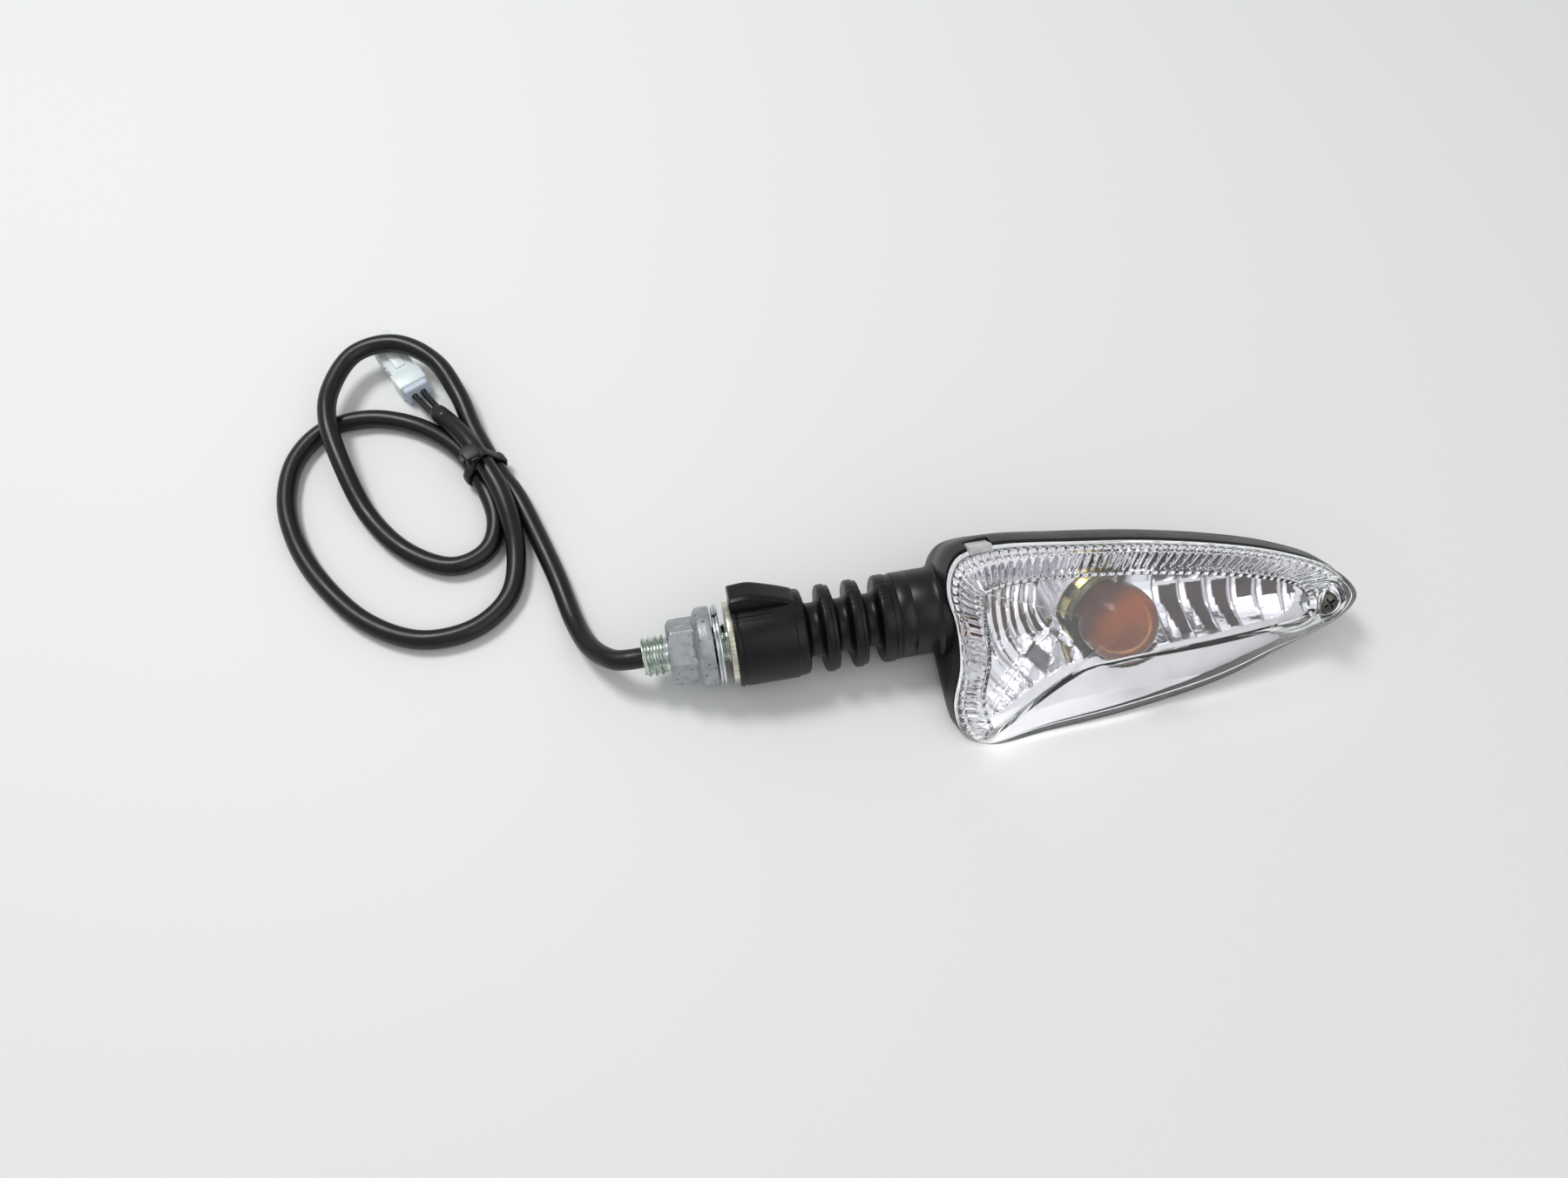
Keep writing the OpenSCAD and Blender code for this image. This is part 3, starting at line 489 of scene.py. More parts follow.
# ---- Rubber stalk ------------------------------------------------------------------------------
# One black EPDM moulding round the stud's head: a base with a locating wing, two thin discs and a
# collar, joined by thin necks that let the indicator fold. A fine mould seam runs along it, and its
# rims are softly rounded.
RUBBER_R, NECK_R, NECK_L, BORE_R = 11.0, 6.5, 3.7, 2.7
BASE_END, DISC_W, LOW_SECTOR = 20, 3.2, (radians(-40), radians(68))
SEAM_AT = (radians(89), radians(-91))
rubber = finish("moulded_rubber", "#050608", "#0a0a0d", 7, (0.3, 0.44), 0.45, 0.04,
                specks=(0.9, "#26272b", 0.76), IOR=1.52, Specular_IOR_Level=0.3)


def seamed(x, r, angle):
    """A raised mould seam along the rubber. Past the base, one sector lies 0.3 mm lower."""
    if r < RUBBER_R - 1.2:
        return r
    near = min(abs((angle - seam + pi) % (2 * pi) - pi) for seam in SEAM_AT) * r
    if x > BASE_END and LOW_SECTOR[0] < (angle + pi) % (2 * pi) - pi < LOW_SECTOR[1]:
        r -= 0.3
    return r - 0.16 + 0.16 * max(0, 1 - (near / 0.45) ** 2)


def moulding(name, part, body, *nodes):
    """A piece of the rubber moulding on its body."""
    seat(make(name, *part, rubber, sharp=40), body, "rubber", *nodes)


def wing():
    """A wedge on the base, upright at the plate and sloping down away from it, with soft edges."""
    low = RUBBER_R - 0.5
    side = rounded([(1.5, 6, 0), (1.5, low + 3.7, 0.5), (6.4, low + 4.1, 1.6), (12.8, low + 1.9, 3),
                    (17, low, 1), (17, 6, 0)])
    rings = [[(x, y, z) for x, z in side] for y in np.linspace(-2.3, 4.5, 13)]
    for ring, shrink in ((0, 0.5), (1, 0.12), (-2, 0.12), (-1, 0.5)):
        rings[ring] = [tuple(np.array(p) - np.array((0.3, 0, 1)) * shrink * (p[2] > 9))
                       for p in rings[ring]]
    return moved(skin(rings), Matrix.Rotation(radians(-25), 4, "X"))


base_ring = turned(rounded([
    (1.5, 7.55, 0), (1.5, 11, 0.35), (2.6, 11, 0.2), (2.6, 10.75, 0.1), (3.1, 10.75, 0.1),
    (3.1, 11, 0.2), (15.8, 11, 0.3), (16.1, 10.7, 0.2), (18.8, 10.6, 1.5), (18.8, 2.7, 0),
    (11.05, 2.7, 0), (11.05, 5.05, 0), (4.55, 5.05, 0), (4.55, 7.55, 0)]), 180, seamed)
moulding("rubber_root", join(base_ring, wing()), "mount_side", "rubber_base")


def disc(x):
    """A disc of rubber: its left rim rounded, a shallow step before its right rim."""
    return turned(rounded([
        (x, BORE_R, 0), (x, RUBBER_R, 1.0), (x + DISC_W * 0.62, RUBBER_R, 0.15),
        (x + DISC_W * 0.66, RUBBER_R - 0.35, 0.15), (x + DISC_W, RUBBER_R - 0.4, 0.5),
        (x + DISC_W, BORE_R, 0)], 5), 180, seamed)


def bend(piece, node):
    """Bakes the piece's place into its mesh and hides the CAD node that it stands for."""
    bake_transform(piece)
    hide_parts(node)


moulding("rubber_disc_1", disc(22.5), "stalk_inner", "stalk_disc_1")
moulding("rubber_disc_2", disc(29.4), "stalk_outer", "stalk_disc_2")
moulding("rubber_collar", turned(rounded([
    (36.3, BORE_R, 0), (36.3, 11, 1.1), (39.2, 11, 0.15), (39.4, 10.7, 0.1), (40.8, 10.75, 0.25),
    (40.8, 7.5, 0), (57.1, 7.5, 0), (57.1, 6.8, 0), (58.3, 6.8, 0), (58.3, 7.5, 0.2),
    (59.1, 7.5, 0.4), (59.1, BORE_R, 0)], 5), 180, seamed), "head", "stalk_collar")
for k, (x, left, right, ends) in enumerate((
        (18.8, "mount_side", "stalk_inner", (-20.4, 24.1)),
        (25.7, "stalk_inner", "stalk_outer", (24.1, 31)),
        (32.6, "stalk_outer", "head", (31, 59.1)))):
    stations = np.linspace(x, x + NECK_L, 13)
    bulge = [(s, NECK_R + 0.9 * abs((s - x) * 2 / NECK_L - 1) ** 3) for s in stations]
    neck = make(f"rubber_neck_{k + 1}", *turned(
        bulge + [(s, BORE_R) for s in stations[::-1]], 64), rubber)
    bend(neck, f"neck_{k + 1}")
    lead = make(f"inner_lead_{k + 1}", *skin(tube(
        [(s, 0, 0) for s in np.linspace(*ends, 60)], 20, lambda i, a: CABLE_R)), cable_pvc)
    bend(lead, "stalk_lead")

# ---- Housing -----------------------------------------------------------------------------------
# The back shell, injection moulded in black ABS with a fine satin grain. It is a deep boat shape
# behind the lens, flat where it lies, with a round stub for the stalk that flows into its wall.
ROLL = radians(40)
RIM_L, RIM_R, RIM_B, RIM_T, RIM_N = 50.1, 150.9, -31.6, 16.0, 12
LENS_L, LENS_W, FLOOR_Z, WALL, STUB_BORE = 100.8, 47.6, -11.0, 2, 7.6
# The rim's keys are percentages of its length and width. Each level below it has a height and the
# shifts of its left, right and top.
RIM_KEYS = [(6.8, 99), (16, 100), (31.5, 96), (49.5, 90.5), (67.5, 82.5), (82, 73.5), (94, 61.5),
            (100, 46), (95, 34.5), (82, 25), (64.5, 13), (42.5, 5.5), (21.5, 2), (8, 0), (1.5, 8.5),
            (0, 22.5), (2.5, 42), (2.8, 62), (1.4, 80), (2.8, 92.5)]
LEVELS = [(RIM_N, 0, 0, 0.6), (8, -0.5, 0.6, 1.4), (5, -0.5, -2, 1.3), (0, -0.1, -13, 0.2),
          (-4, 0.2, -25, -0.5), (-8.5, 0.6, -41, -4), (-13, 4, -57, -10)]
black_abs = finish("satin_black_abs", "#08090a", "#0e0f11", 8, (0.3, 0.42), 0.4, 0.03,
                   specks=(0.9, "#232427", 0.76), IOR=1.54, Specular_IOR_Level=0.35)
head_turn = Matrix.Rotation(ROLL, 4, "X")


def closed_run(keys, steps):
    """A smooth closed outline through its keys."""
    keys, n = np.array(keys, float), len(keys)
    return np.array([between(keys[i - 1], keys[i], keys[(i + 1) % n], keys[(i + 2) % n], s / steps)
                     for i in range(n) for s in range(steps)])


def scaled(keys, steps):
    """A smooth outline from keys in percentages of the lens."""
    return closed_run([(RIM_L + u * LENS_L / 100, RIM_B + v * LENS_W / 100) for u, v in keys],
                      steps)


def inset(ring, d):
    """An outline moved inwards by d. It runs clockwise."""
    along = np.roll(ring, -1, 0) - np.roll(ring, 1, 0)
    along /= np.linalg.norm(along, axis=1)[:, None]
    return ring + d * np.stack([along[:, 1], -along[:, 0]], 1)


rim = scaled(RIM_KEYS, 8)


def level_ring(level, d):
    """The rim's outline stretched to a level's box and moved inwards by d."""
    n, left, right, top = level
    low = max(RIM_B, (FLOOR_Z - n * cos(ROLL)) / sin(ROLL) - 5) + d
    left, right, top = RIM_L + left + d, RIM_R + right - d, RIM_T + top - d
    return [(left + (u - RIM_L) * (right - left) / LENS_L,
             low + (v - RIM_B) * (top - low) / LENS_W, n) for u, v in rim]


def cut_flat(piece, height):
    """Cuts a piece off at a height in mm and closes the cut."""
    work = bmesh.new()
    work.from_mesh(piece.data)
    found = bmesh.ops.bisect_plane(work, geom=work.verts[:] + work.edges[:] + work.faces[:],
                                   plane_co=(0, 0, height * MM), plane_no=(0, 0, -1),
                                   clear_outer=True)
    rim_edges = [e for e in found["geom_cut"] if isinstance(e, bmesh.types.BMEdge)]
    bmesh.ops.triangle_fill(work, edges=rim_edges, use_beauty=True)
    bmesh.ops.recalc_face_normals(work, faces=work.faces)
    work.to_mesh(piece.data)
    work.free()
    piece.data.shade_smooth()
    piece.data.set_sharp_from_angle(angle=radians(32))


def carve(piece, cutter, way="DIFFERENCE"):
    """Applies one solid to another and removes the cutter."""
    step = piece.modifiers.new("cut", "BOOLEAN")
    step.operation, step.object, step.solver = way, cutter, "EXACT"
    bpy.context.view_layer.update()
    done = bpy.data.meshes.new_from_object(piece.evaluated_get(
        bpy.context.evaluated_depsgraph_get()))
    piece.modifiers.clear()
    piece.data = done
    bpy.data.objects.remove(cutter)
    piece.data.shade_smooth()
    piece.data.set_sharp_from_angle(angle=radians(32))


fine_levels = run(LEVELS, 6)
shell = make("back_shell", *moved(skin([level_ring(level, 0) for level in fine_levels]), head_turn),
             black_abs, sharp=32)
cut_flat(shell, FLOOR_Z)
mouth = [(u, v, RIM_N + 2) for u, v, n in level_ring(fine_levels[0], WALL)]
inner_levels = [level_ring(level, WALL) for level in fine_levels]
inner_levels[-1] = [(u, v, n + WALL) for u, v, n in inner_levels[-1]]
hollow = make("hollow", *moved(skin([mouth] + inner_levels), head_turn), black_abs)
cut_flat(hollow, FLOOR_Z + WALL)
carve(shell, hollow)
flare = [(x, 10.5 + 0.7 * (1 - (1 - min(1, (x - 49.2) / 1.6) ** 2) ** 0.5))
         for x in np.linspace(49.2, 50.8, 10)]


def clear_of_floor(x, r, angle):
    """The radius, held just above the surface that the indicator lies on."""
    return r if sin(angle) > -0.5 else min(r, 10.95 / -sin(angle))


stub = make("shell_stub", *turned(
    [(40.8, STUB_BORE), (40.8, 10.35), (41.0, 10.5), (44.2, 10.5), (44.35, 10.42), (44.5, 10.5)]
    + flare + [(53.5, 11.2), (57.1, 10.5), (57.1, STUB_BORE)], 120, clear_of_floor),
            black_abs, sharp=40)
carve(shell, make("bore", *turned([(40, 0), (40, STUB_BORE), (60, STUB_BORE), (60, 0)]), black_abs))
notch = make("notch", *moved(block((57.36, 63.36), (13, 19), (8.7, 19), 0.3), head_turn), black_abs)
carve(shell, notch)
seat(shell, "head", "black_plastic", "housing")
seat(stub, "head", "black_plastic")
SCREW_U, SCREW_V = 141.83, -9.94
# X of a piece turned for the lens screw becomes the direction out of the lens.
screw_frame = head_turn @ Matrix.Translation((SCREW_U, SCREW_V, 0)) @ Matrix(
    ((0, 0, -1, 0), (0, 1, 0, 0), (1, 0, 0, 0), (0, 0, 0, 1)))
post = make("screw_post", *moved(turned(rounded([
    (3.2, 1.55, 0), (3.2, 3.2, 0.2), (12, 3.2, 0.3), (12, 1.55, 0.2)]), 48), screw_frame), black_abs)
seat(post, "head", "black_plastic")

# ---- Lens gasket -------------------------------------------------------------------------------
# A thin grey foam-rubber ring between the housing's rim and the lens.
foam = finish("gasket_rubber", "#3a3b3c", "#464748", 4, (0.6, 0.75), 0.5, 0.05, IOR=1.5)
ring_out, ring_in = inset(rim, 0.3), inset(rim, 1.4)
gasket = make("foam_gasket", *moved(skin([[(*ring[i], n) for ring, n in (
    (ring_out, RIM_N), (ring_out, RIM_N + 0.6), (ring_in, RIM_N + 0.7), (ring_in, RIM_N))]
    for i in range(len(rim))], closed=True), head_turn), foam)
seat(gasket, "head", "gasket_rubber", "lens_gasket")

# ---- Reflector ---------------------------------------------------------------------------------
# An injection moulded bowl with vacuum-metallised aluminium on it, so it is a mirror. Arcs of fine
# flutes fill its root end, a chequer of small facets lies below the bulb, and its long end climbs to
# the tip in broad steps. A satin flange runs under the lens's border and foot. Its colour carries
# painted reflections and painted shade: dark arcs on the flutes, dark facets in the chequer, dark
# patches and edges on the steps, a dark band round the bulb hole and a slightly darker flange.
FACE_KEYS = [(8.5, 84.5), (15, 86.5), (28.5, 85), (44.5, 81), (60.5, 75), (73.5, 68.5), (81.5, 61.5),
             (85, 51), (82.5, 42.5), (74.5, 39.8), (59.5, 37.6), (38, 36.4), (26, 33), (7, 12.2),
             (5, 17), (4, 31), (6.3, 48.5), (6.5, 66.5), (6.3, 78), (7, 83)]
BOWL_AT, BOWL_LOW, FLANGE_N, BOWL_FLOOR = (87.5, -1.1), 0.4, 11.2, -8.1
STEPS_U = (104.5, 111, 117, 122.5, 128, 133.5, 138.5, 143)
STEP_CREASE, FLUTE, RING_W, RAY_DEG = -2.6, 2.6, 4.3, 13
BULB_HOLE, SCREW_HOLE = 9.2, 3.6
GLOBE = np.array((92.1, -7.4, 12.0))
AXIS = (np.array(head_turn.to_3x3()).T @ np.array((0.400869, -0.892769, 0.205592)))
mirror, tree = blank("vacuum_metallised_aluminium")
place = add(tree, "TexCoord").outputs["Object"]
painted_reflection_shade = add(tree, "Attribute", {"attribute_name": "shade"}).outputs["Fac"]
matt = add(tree, "Attribute", {"attribute_name": "satin"}).outputs["Fac"]
haze = mix(tree, noise(tree, place, 6, 5), "#f6f5f9", "#dedce4")
# Where the shade attribute is high, the mirror's colour turns deep brown: painted reflection and
# painted shade.
show(tree, add(tree, "BsdfPrincipled", {}, {
    "Base Color": mix(tree, painted_reflection_shade, haze, "#28181c"), "Metallic": span(tree, matt, 0, 1, 1, 0.35),
    "Roughness": span(tree, matt, 0, 1, 0.07, 0.42),
    "Normal": relief(tree, noise(tree, place, 1.5, 2), 0.02)}))


def smoothstep(low, high, value):
    """Rises softly from 0 at low to 1 at high."""
    t = np.clip((value - low) / (high - low), 0, 1)
    return t * t * (3 - 2 * t)


def polar(outline, u, v):
    """How far out a point lies from the bowl's middle, as a share of the outline, and its angle and
    distance."""
    ring = outline - BOWL_AT
    angles, reach = np.arctan2(ring[:, 1], ring[:, 0]), np.linalg.norm(ring, axis=1)
    order = np.argsort(angles)
    du, dv = u - BOWL_AT[0], v - BOWL_AT[1]
    angle, far = np.arctan2(dv, du), np.hypot(du, dv)
    return far / np.interp(angle, angles[order], reach[order], period=2 * pi), angle, far


opening = inset(scaled(FACE_KEYS, 12), -0.8)


def bowl(u, v):
    """Height, shade and satin of the reflector at points of the head. The shade paints dark
    reflections and shade into the mirror's colour.
    """
    step = np.clip(np.searchsorted(STEPS_U, u) - 1, 0, len(STEPS_U) - 2)
    low_edge, high_edge = np.take(STEPS_U, step), np.take(STEPS_U, step + 1)
    local = np.clip((u - low_edge) / (high_edge - low_edge), 0, 1)
    stepped = (u > STEPS_U[0]) & (u < STEPS_U[-1])
    middle = (low_edge + high_edge) / 2
    u_flat = np.where(stepped, middle + (u - middle) * 0.3, u)
    share, angle, far = polar(opening, u_flat, v)
    inside = polar(opening, u, v)[0]
    n = BOWL_LOW + (FLANGE_N - BOWL_LOW) * np.clip(share, 0, 1) ** 1.7
    shade = np.zeros_like(n)
    root = smoothstep(86, 80, u) * smoothstep(10.5, 12.5, far) * (inside < 1)
    down = smoothstep(-9, -11, v) * smoothstep(70, 71, u)
    flutes = root * (1 - down)
    n += flutes * 0.28 * np.abs(np.sin(pi * far / FLUTE + 0.5 * np.sin(3 * angle)))
    # Painted reflection: dark arcs along the flutes, and dark streaks on their upper part.
    shade += flutes * 0.7 * smoothstep(0.8, 1, np.cos(pi * far / FLUTE + 2.2 * angle))
    shade += flutes * 0.5 * smoothstep(0.2, 1, np.sin(angle * 2 + far * 0.35)) * (v > 0)
    ring_at, ray_at = far / RING_W, np.degrees(angle) / RAY_DEG
    ring_no, ray_no = np.floor(ring_at), np.floor(ray_at)
    chequer = (ring_no + ray_no) % 2
    below = smoothstep(-9, -9.6, v) * (u > 69) * (u < 101) * (inside < 1) * (far > 11)
    n += below * ((ring_at - ring_no) - 0.5) * (2 * chequer - 1) * 0.9
    n += below * ((ray_at - ray_no) - 0.5) * (0.5 - chequer) * 0.8
    # Painted reflection: every other facet of the chequer is darker, some of them more.
    shade += below * chequer * (0.35 + 0.5 * ((ray_no * 7 + ring_no * 3) % 3 == 1))
    n += stepped * (inside < 1) * (0.10 * np.abs(v - STEP_CREASE) - 0.5 * (local - 0.5) ** 2)
    # Painted reflection and painted shade: a dark patch on the lower part of each step, a faint
    # darkening above the crease and a dark line along each step's edge.
    drop = (STEP_CREASE - v) / 9
    start = 0.22 + 0.35 * np.clip(drop - 0.35, 0, 1) * (u < 122)
    patch = ((drop > 0) & (local > start) & (local < 0.93)
             & (drop < np.where(u < 122, 1.2, 0.55)))
    shade += stepped * (inside < 1) * (patch + 0.06 * (drop <= 0) + 0.6 * (local < 0.05))
    # Painted shade: a dark band round the bulb hole, left out well below and above it.
    shade += 0.7 * smoothstep(13.5, 10.5, far) * smoothstep(-9, -4, v) * (v < 6)
    outside = inside >= 1
    gap = np.clip((inside - 1) * far / np.maximum(inside, 0.01), 0, None)
    foot = v < np.interp(u, (60, 80, 135), (-18, -12, -10))
    n = np.where(outside, np.where(foot, FLANGE_N - 0.15 * gap, FLANGE_N + 0.1), n)
    # Painted shade: the flange is a little darker, more so under the foot.
    shade = np.where(outside, np.where(foot, 0.07, 0.02), shade)
    n = np.maximum(n, (BOWL_FLOOR - v * sin(ROLL)) / cos(ROLL))
    return n, np.clip(shade, 0, 1), outside.astype(float)


edge = inset(scaled(RIM_KEYS, 12), 2.3)
columns = np.unique(np.round(np.concatenate([np.arange(54.2, 147.6, 0.42)] + [
    (s - 0.03, s + 0.03) for s in STEPS_U]), 3))
rows, grid = 128, []
for u in columns:
    a, b = edge, np.roll(edge, -1, 0)
    crossing = (a[:, 0] - u) * (b[:, 0] - u) < 0
    v_at = a[crossing, 1] + (u - a[crossing, 0]) * (b - a)[crossing, 1] / (b - a)[crossing, 0]
    grid.append([(u, v) for v in np.linspace(v_at.min(), v_at.max(), rows)])
grid = np.array(grid).reshape(-1, 2)
height, shade, satin = bowl(grid[:, 0], grid[:, 1])
points = np.column_stack([grid, height])
off_axis = points - GLOBE
off_axis = np.linalg.norm(off_axis - np.outer(off_axis @ AXIS, AXIS), axis=1)
off_screw = np.hypot(grid[:, 0] - SCREW_U, grid[:, 1] - SCREW_V)
open_here = (off_axis < BULB_HOLE) | (off_screw < SCREW_HOLE)
faces = []
for i in range(len(columns) - 1):
    for j in range(rows - 1):
        face = (i * rows + j, (i + 1) * rows + j, (i + 1) * rows + j + 1, i * rows + j + 1)
        if not any(open_here[k] for k in face):
            faces.append(face)
mesh = bpy.data.meshes.new("reflector")
mesh.from_pydata([head_turn @ Vector(p) * MM for p in points], [], faces)
# The shade attribute carries the painted reflections and painted shade to the mirror's colour.
for name, values in (("shade", shade), ("satin", satin)):
    mesh.attributes.new(name, "FLOAT", "POINT").data.foreach_set("value", values.astype(np.float32))
mesh.shade_smooth()
mesh.set_sharp_from_angle(angle=radians(22))
mesh.materials.append(mirror)
reflector = bpy.data.objects.new("reflector_bowl", mesh)
bpy.context.scene.collection.objects.link(reflector)
work = bmesh.new()
work.from_mesh(mesh)
loose = [v for v in work.verts if not v.link_faces]
bmesh.ops.delete(work, geom=loose, context="VERTS")
work.to_mesh(mesh)
work.free()
back = reflector.modifiers.new("thickness", "SOLIDIFY")
back.thickness, back.offset = 0.0007, -1
seat(reflector, "head", "metallised_plastic", "reflector")
# X of a piece turned for the bulb becomes the bulb's axis, with the globe's middle at 0.
bulb_at = (head_turn @ Matrix.Translation(GLOBE)
           @ Vector(AXIS).to_track_quat("X", "Z").to_matrix().to_4x4())
sleeve = make("reflector_sleeve", *moved(turned(rounded([
    (-18.5, 8.7, 0), (-18.5, 9.9, 0), (-12.0, 9.9, 0.6), (-11.5, 9.5, 0.3), (-11.5, 8.7, 0.2)])),
    bulb_at), finish("metallised_sleeve", "#e4e3e6", "#b9b6bb", 4, (0.1, 0.2), 0.8, 0.02, Metallic=1))
seat(sleeve, "head", "metallised_plastic")

# ---- Bulb --------------------------------------------------------------------------------------
# A 10 W indicator bulb. Its globe is blown from clear glass and lacquered amber. Towards the neck it
# is painted browner and more opaque, as painted shade. A coiled tungsten filament stands on two
# support wires in a glass bead, and a brass cap with two pins holds it, its brass painted darker as
# painted shade.
GLOBE_R, NECK = 9.2, 6.3
amber_glass_neck_shade, tree = blank("amber_lacquered_glass")
place = add(tree, "TexCoord").outputs["Object"]
# The attribute read here is painted shade: how much browner and more opaque the globe is painted
# towards its neck.
painted_neck_shade = add(tree, "Attribute", {"attribute_name": "amber_glass_neck_shade"}).outputs["Fac"]
blot = noise(tree, place, 5, 3)
# Depth: the painted neck shade, with uneven blots of lacquer on it.
depth = add(tree, "Math", {"operation": "MULTIPLY_ADD"}, {0: blot, 1: 0.3, 2: painted_neck_shade}).outputs[0]
uneven = relief(tree, blot, 0.2, 0.6)
through = add(tree, "BsdfTransparent", {}, {"Color": mix(tree, depth, "#fae2b8", "#c8977c")})
gloss = add(tree, "BsdfAnisotropic", {}, {"Roughness": 0.03, "Normal": uneven})
edge_on = add(tree, "Fresnel", {}, {"IOR": 1.2, "Normal": uneven}).outputs[0]
clear = add(tree, "MixShader", {}, {0: edge_on, 1: through.outputs[0], 2: gloss.outputs[0]})
grain = noise(tree, place, 0.7, 4)
# The film runs from amber to a painted shaded brown as the depth rises.
amber, shaded_neck_brown = mix(tree, grain, "#f08022", "#c95a14"), mix(tree, grain, "#4e170b", "#200806")
film = add(tree, "BsdfPrincipled", {}, {"Base Color": mix(tree, depth, amber, shaded_neck_brown),
                                        "Roughness": 0.12, "Specular IOR Level": 0.1})
show(tree, add(tree, "MixShader", {}, {0: span(tree, depth, 0.15, 1.1, 0.14, 0.8),
                                       1: clear.outputs[0], 2: film.outputs[0]}))


def globe_line(shrink):
    """Half the globe's outline from its tip to its neck."""
    r = GLOBE_R - shrink
    line = [(r * cos(a), r * sin(a)) for a in np.linspace(0, pi / 2, 22)]
    return line + [(x, far - shrink) for x, far in (
        (-1.5, GLOBE_R), (-2.8, 9.05), (-4, 8.75), (-5.1, 8.2), (-6, 7.5), (-6.6, 6.8),
        (-7, NECK + 0.1), (-7.4, NECK), (-10.4, NECK))]


globe = make("bulb_globe", *moved(turned(globe_line(0) + globe_line(0.7)[::-1], 72), bulb_at),
             amber_glass_neck_shade, sharp=60)
along = (np.array([head_turn.inverted() @ v.co for v in globe.data.vertices]) / MM - GLOBE) @ AXIS
# The painted neck shade: none near the globe's tip, rising to its most at the neck.
globe.data.attributes.new("amber_glass_neck_shade", "FLOAT", "POINT").data.foreach_set(
    "value", (smoothstep(6.5, -3, along) * 0.85).astype(np.float32))
seat(globe, "bulb", "amber_glass", "bulb_glass")
tungsten = finish("drawn_nickel_wire", "#8d8b88", "#6c6a67", 1, (0.25, 0.4), 0.2, 0.01, Metallic=1)
COIL_R, COIL_END = 0.45, 14 * 2 * pi
coil = [(1.0 + COIL_R * sin(a), 2.4 * (a / COIL_END * 2 - 1), COIL_R * cos(a))
        for a in np.linspace(0, COIL_END, 220)]
wires = [run([(-10.4, 1.1 * s, 0), (-7, 1.3 * s, 0), (-3.5, 1.5 * s, 0), (-0.6, 2.3 * s, 0),
              (1.0, 2.45 * s, 0.2)], 6) for s in (-1, 1)]
filament = make("bulb_filament_coil", *moved(join(
    skin(tube(coil, 6, lambda i, a: 0.13)), *[skin(tube(w, 10, lambda i, a: 0.24)) for w in wires]),
    bulb_at), tungsten)
seat(filament, "bulb", "filament_metal", "bulb_filament")
bead_glass = finish("lead_glass_bead", "#c9a27c", "#b98f68", 2, (0.05, 0.1), 0.5, 0.01, IOR=1.55,
                    Transmission_Weight=0.6)
bead = make("bulb_bead", *moved(skin([[(x, 2.6 * r * cos(a), 1.3 * r * sin(a)) for a in np.arange(
    24) * pi / 12] for x, r in ((-10.4, 1), (-8, 0.95), (-5.6, 0.8), (-4.4, 0.6), (-3.9, 0.2))]),
    bulb_at), bead_glass)
seat(bead, "bulb", "amber_glass")
# The cap's brass is painted darker and duller than bright brass: painted shade from the socket round
# it.
cap_brass_painted_shade = finish("brass_cap_painted_shade", "#77725a", "#57523c", 3, (0.22, 0.42), 0.3, 0.03,
                   specks=(0.8, "#5d5636", 0.66), Metallic=1)
pins = [moved(turned([(5, 0), (5, 1), (8.1, 1), (8.3, 0.8), (8.3, 0)], 24),
              Matrix.Translation((-13, 0, 0)) @ Matrix.Rotation(radians(90 + 180 * s), 4, "Z"))
        for s in (0, 1)]
cap = make("bulb_cap", *moved(join(turned(rounded([
    (-16.5, 2.6, 0), (-16.5, 7.5, 0.8), (-9.4, 7.5, 0.3), (-9.0, 7.2, 0.2), (-8.2, 7.45, 0.3),
    (-8.2, 6.45, 0.2), (-10.4, 6.4, 0), (-10.4, 2.6, 0)])), *pins), bulb_at), cap_brass_painted_shade)
seat(cap, "bulb", "bulb_brass", "bulb_base")

# ---- Lens --------------------------------------------------------------------------------------
# Clear acrylic, injection moulded: a flat face with a crisp edge along its foot, sloping borders
# with prismatic ribs on their inside along the top and the root, a plain foot and a round lug at the
# tip that is spot-faced for the screw. The frosted tab at the root is a piece of its own.
LENS_N, EDGE_N, FACE_N, LENS_WALL, RIB_PITCH = 12.95, 14.5, 23.5, 1.8, 2.3
AROUND = 72
acrylic, tree = blank("clear_acrylic_moulded")
place = add(tree, "TexCoord").outputs["Object"]
dust = noise(tree, place, 1.2, 4)
glass = add(tree, "BsdfPrincipled", {}, {
    "Base Color": colour("#fbfcfc"), "Roughness": span(tree, dust, 0.5, 0.8, 0.01, 0.12),
    "IOR": 1.49, "Transmission Weight": 1.0,
    "Normal": relief(tree, noise(tree, place, 14, 2), 0.6, 0.5)})
through = add(tree, "BsdfTransparent", {}, {"Color": colour("#f4f4f4")})
shadow = add(tree, "LightPath").outputs["Is Shadow Ray"]
show(tree, add(tree, "MixShader", {}, {0: shadow, 1: glass.outputs[0], 2: through.outputs[0]}))
rim_out, face_out = scaled(RIM_KEYS, AROUND), scaled(FACE_KEYS, AROUND)
key_no = np.arange(len(rim_out)) / AROUND
walk = np.concatenate([[0], np.cumsum(np.linalg.norm(np.diff(rim_out, axis=0), axis=1))])
ribbed = np.maximum(smoothstep(12.9, 13.6, key_no), 1 - smoothstep(6.1, 6.7, key_no))
ribbed *= 1 - 0.6 * smoothstep(15.4, 15.8, key_no) * (1 - smoothstep(17.0, 17.5, key_no))
foot = smoothstep(8.6, 9.4, key_no) * (1 - smoothstep(12.8, 13.4, key_no))


def rib(x):
    """A rib's height from 0 to 1: a round back between sharp valleys."""
    return np.abs(np.sin(pi * x))


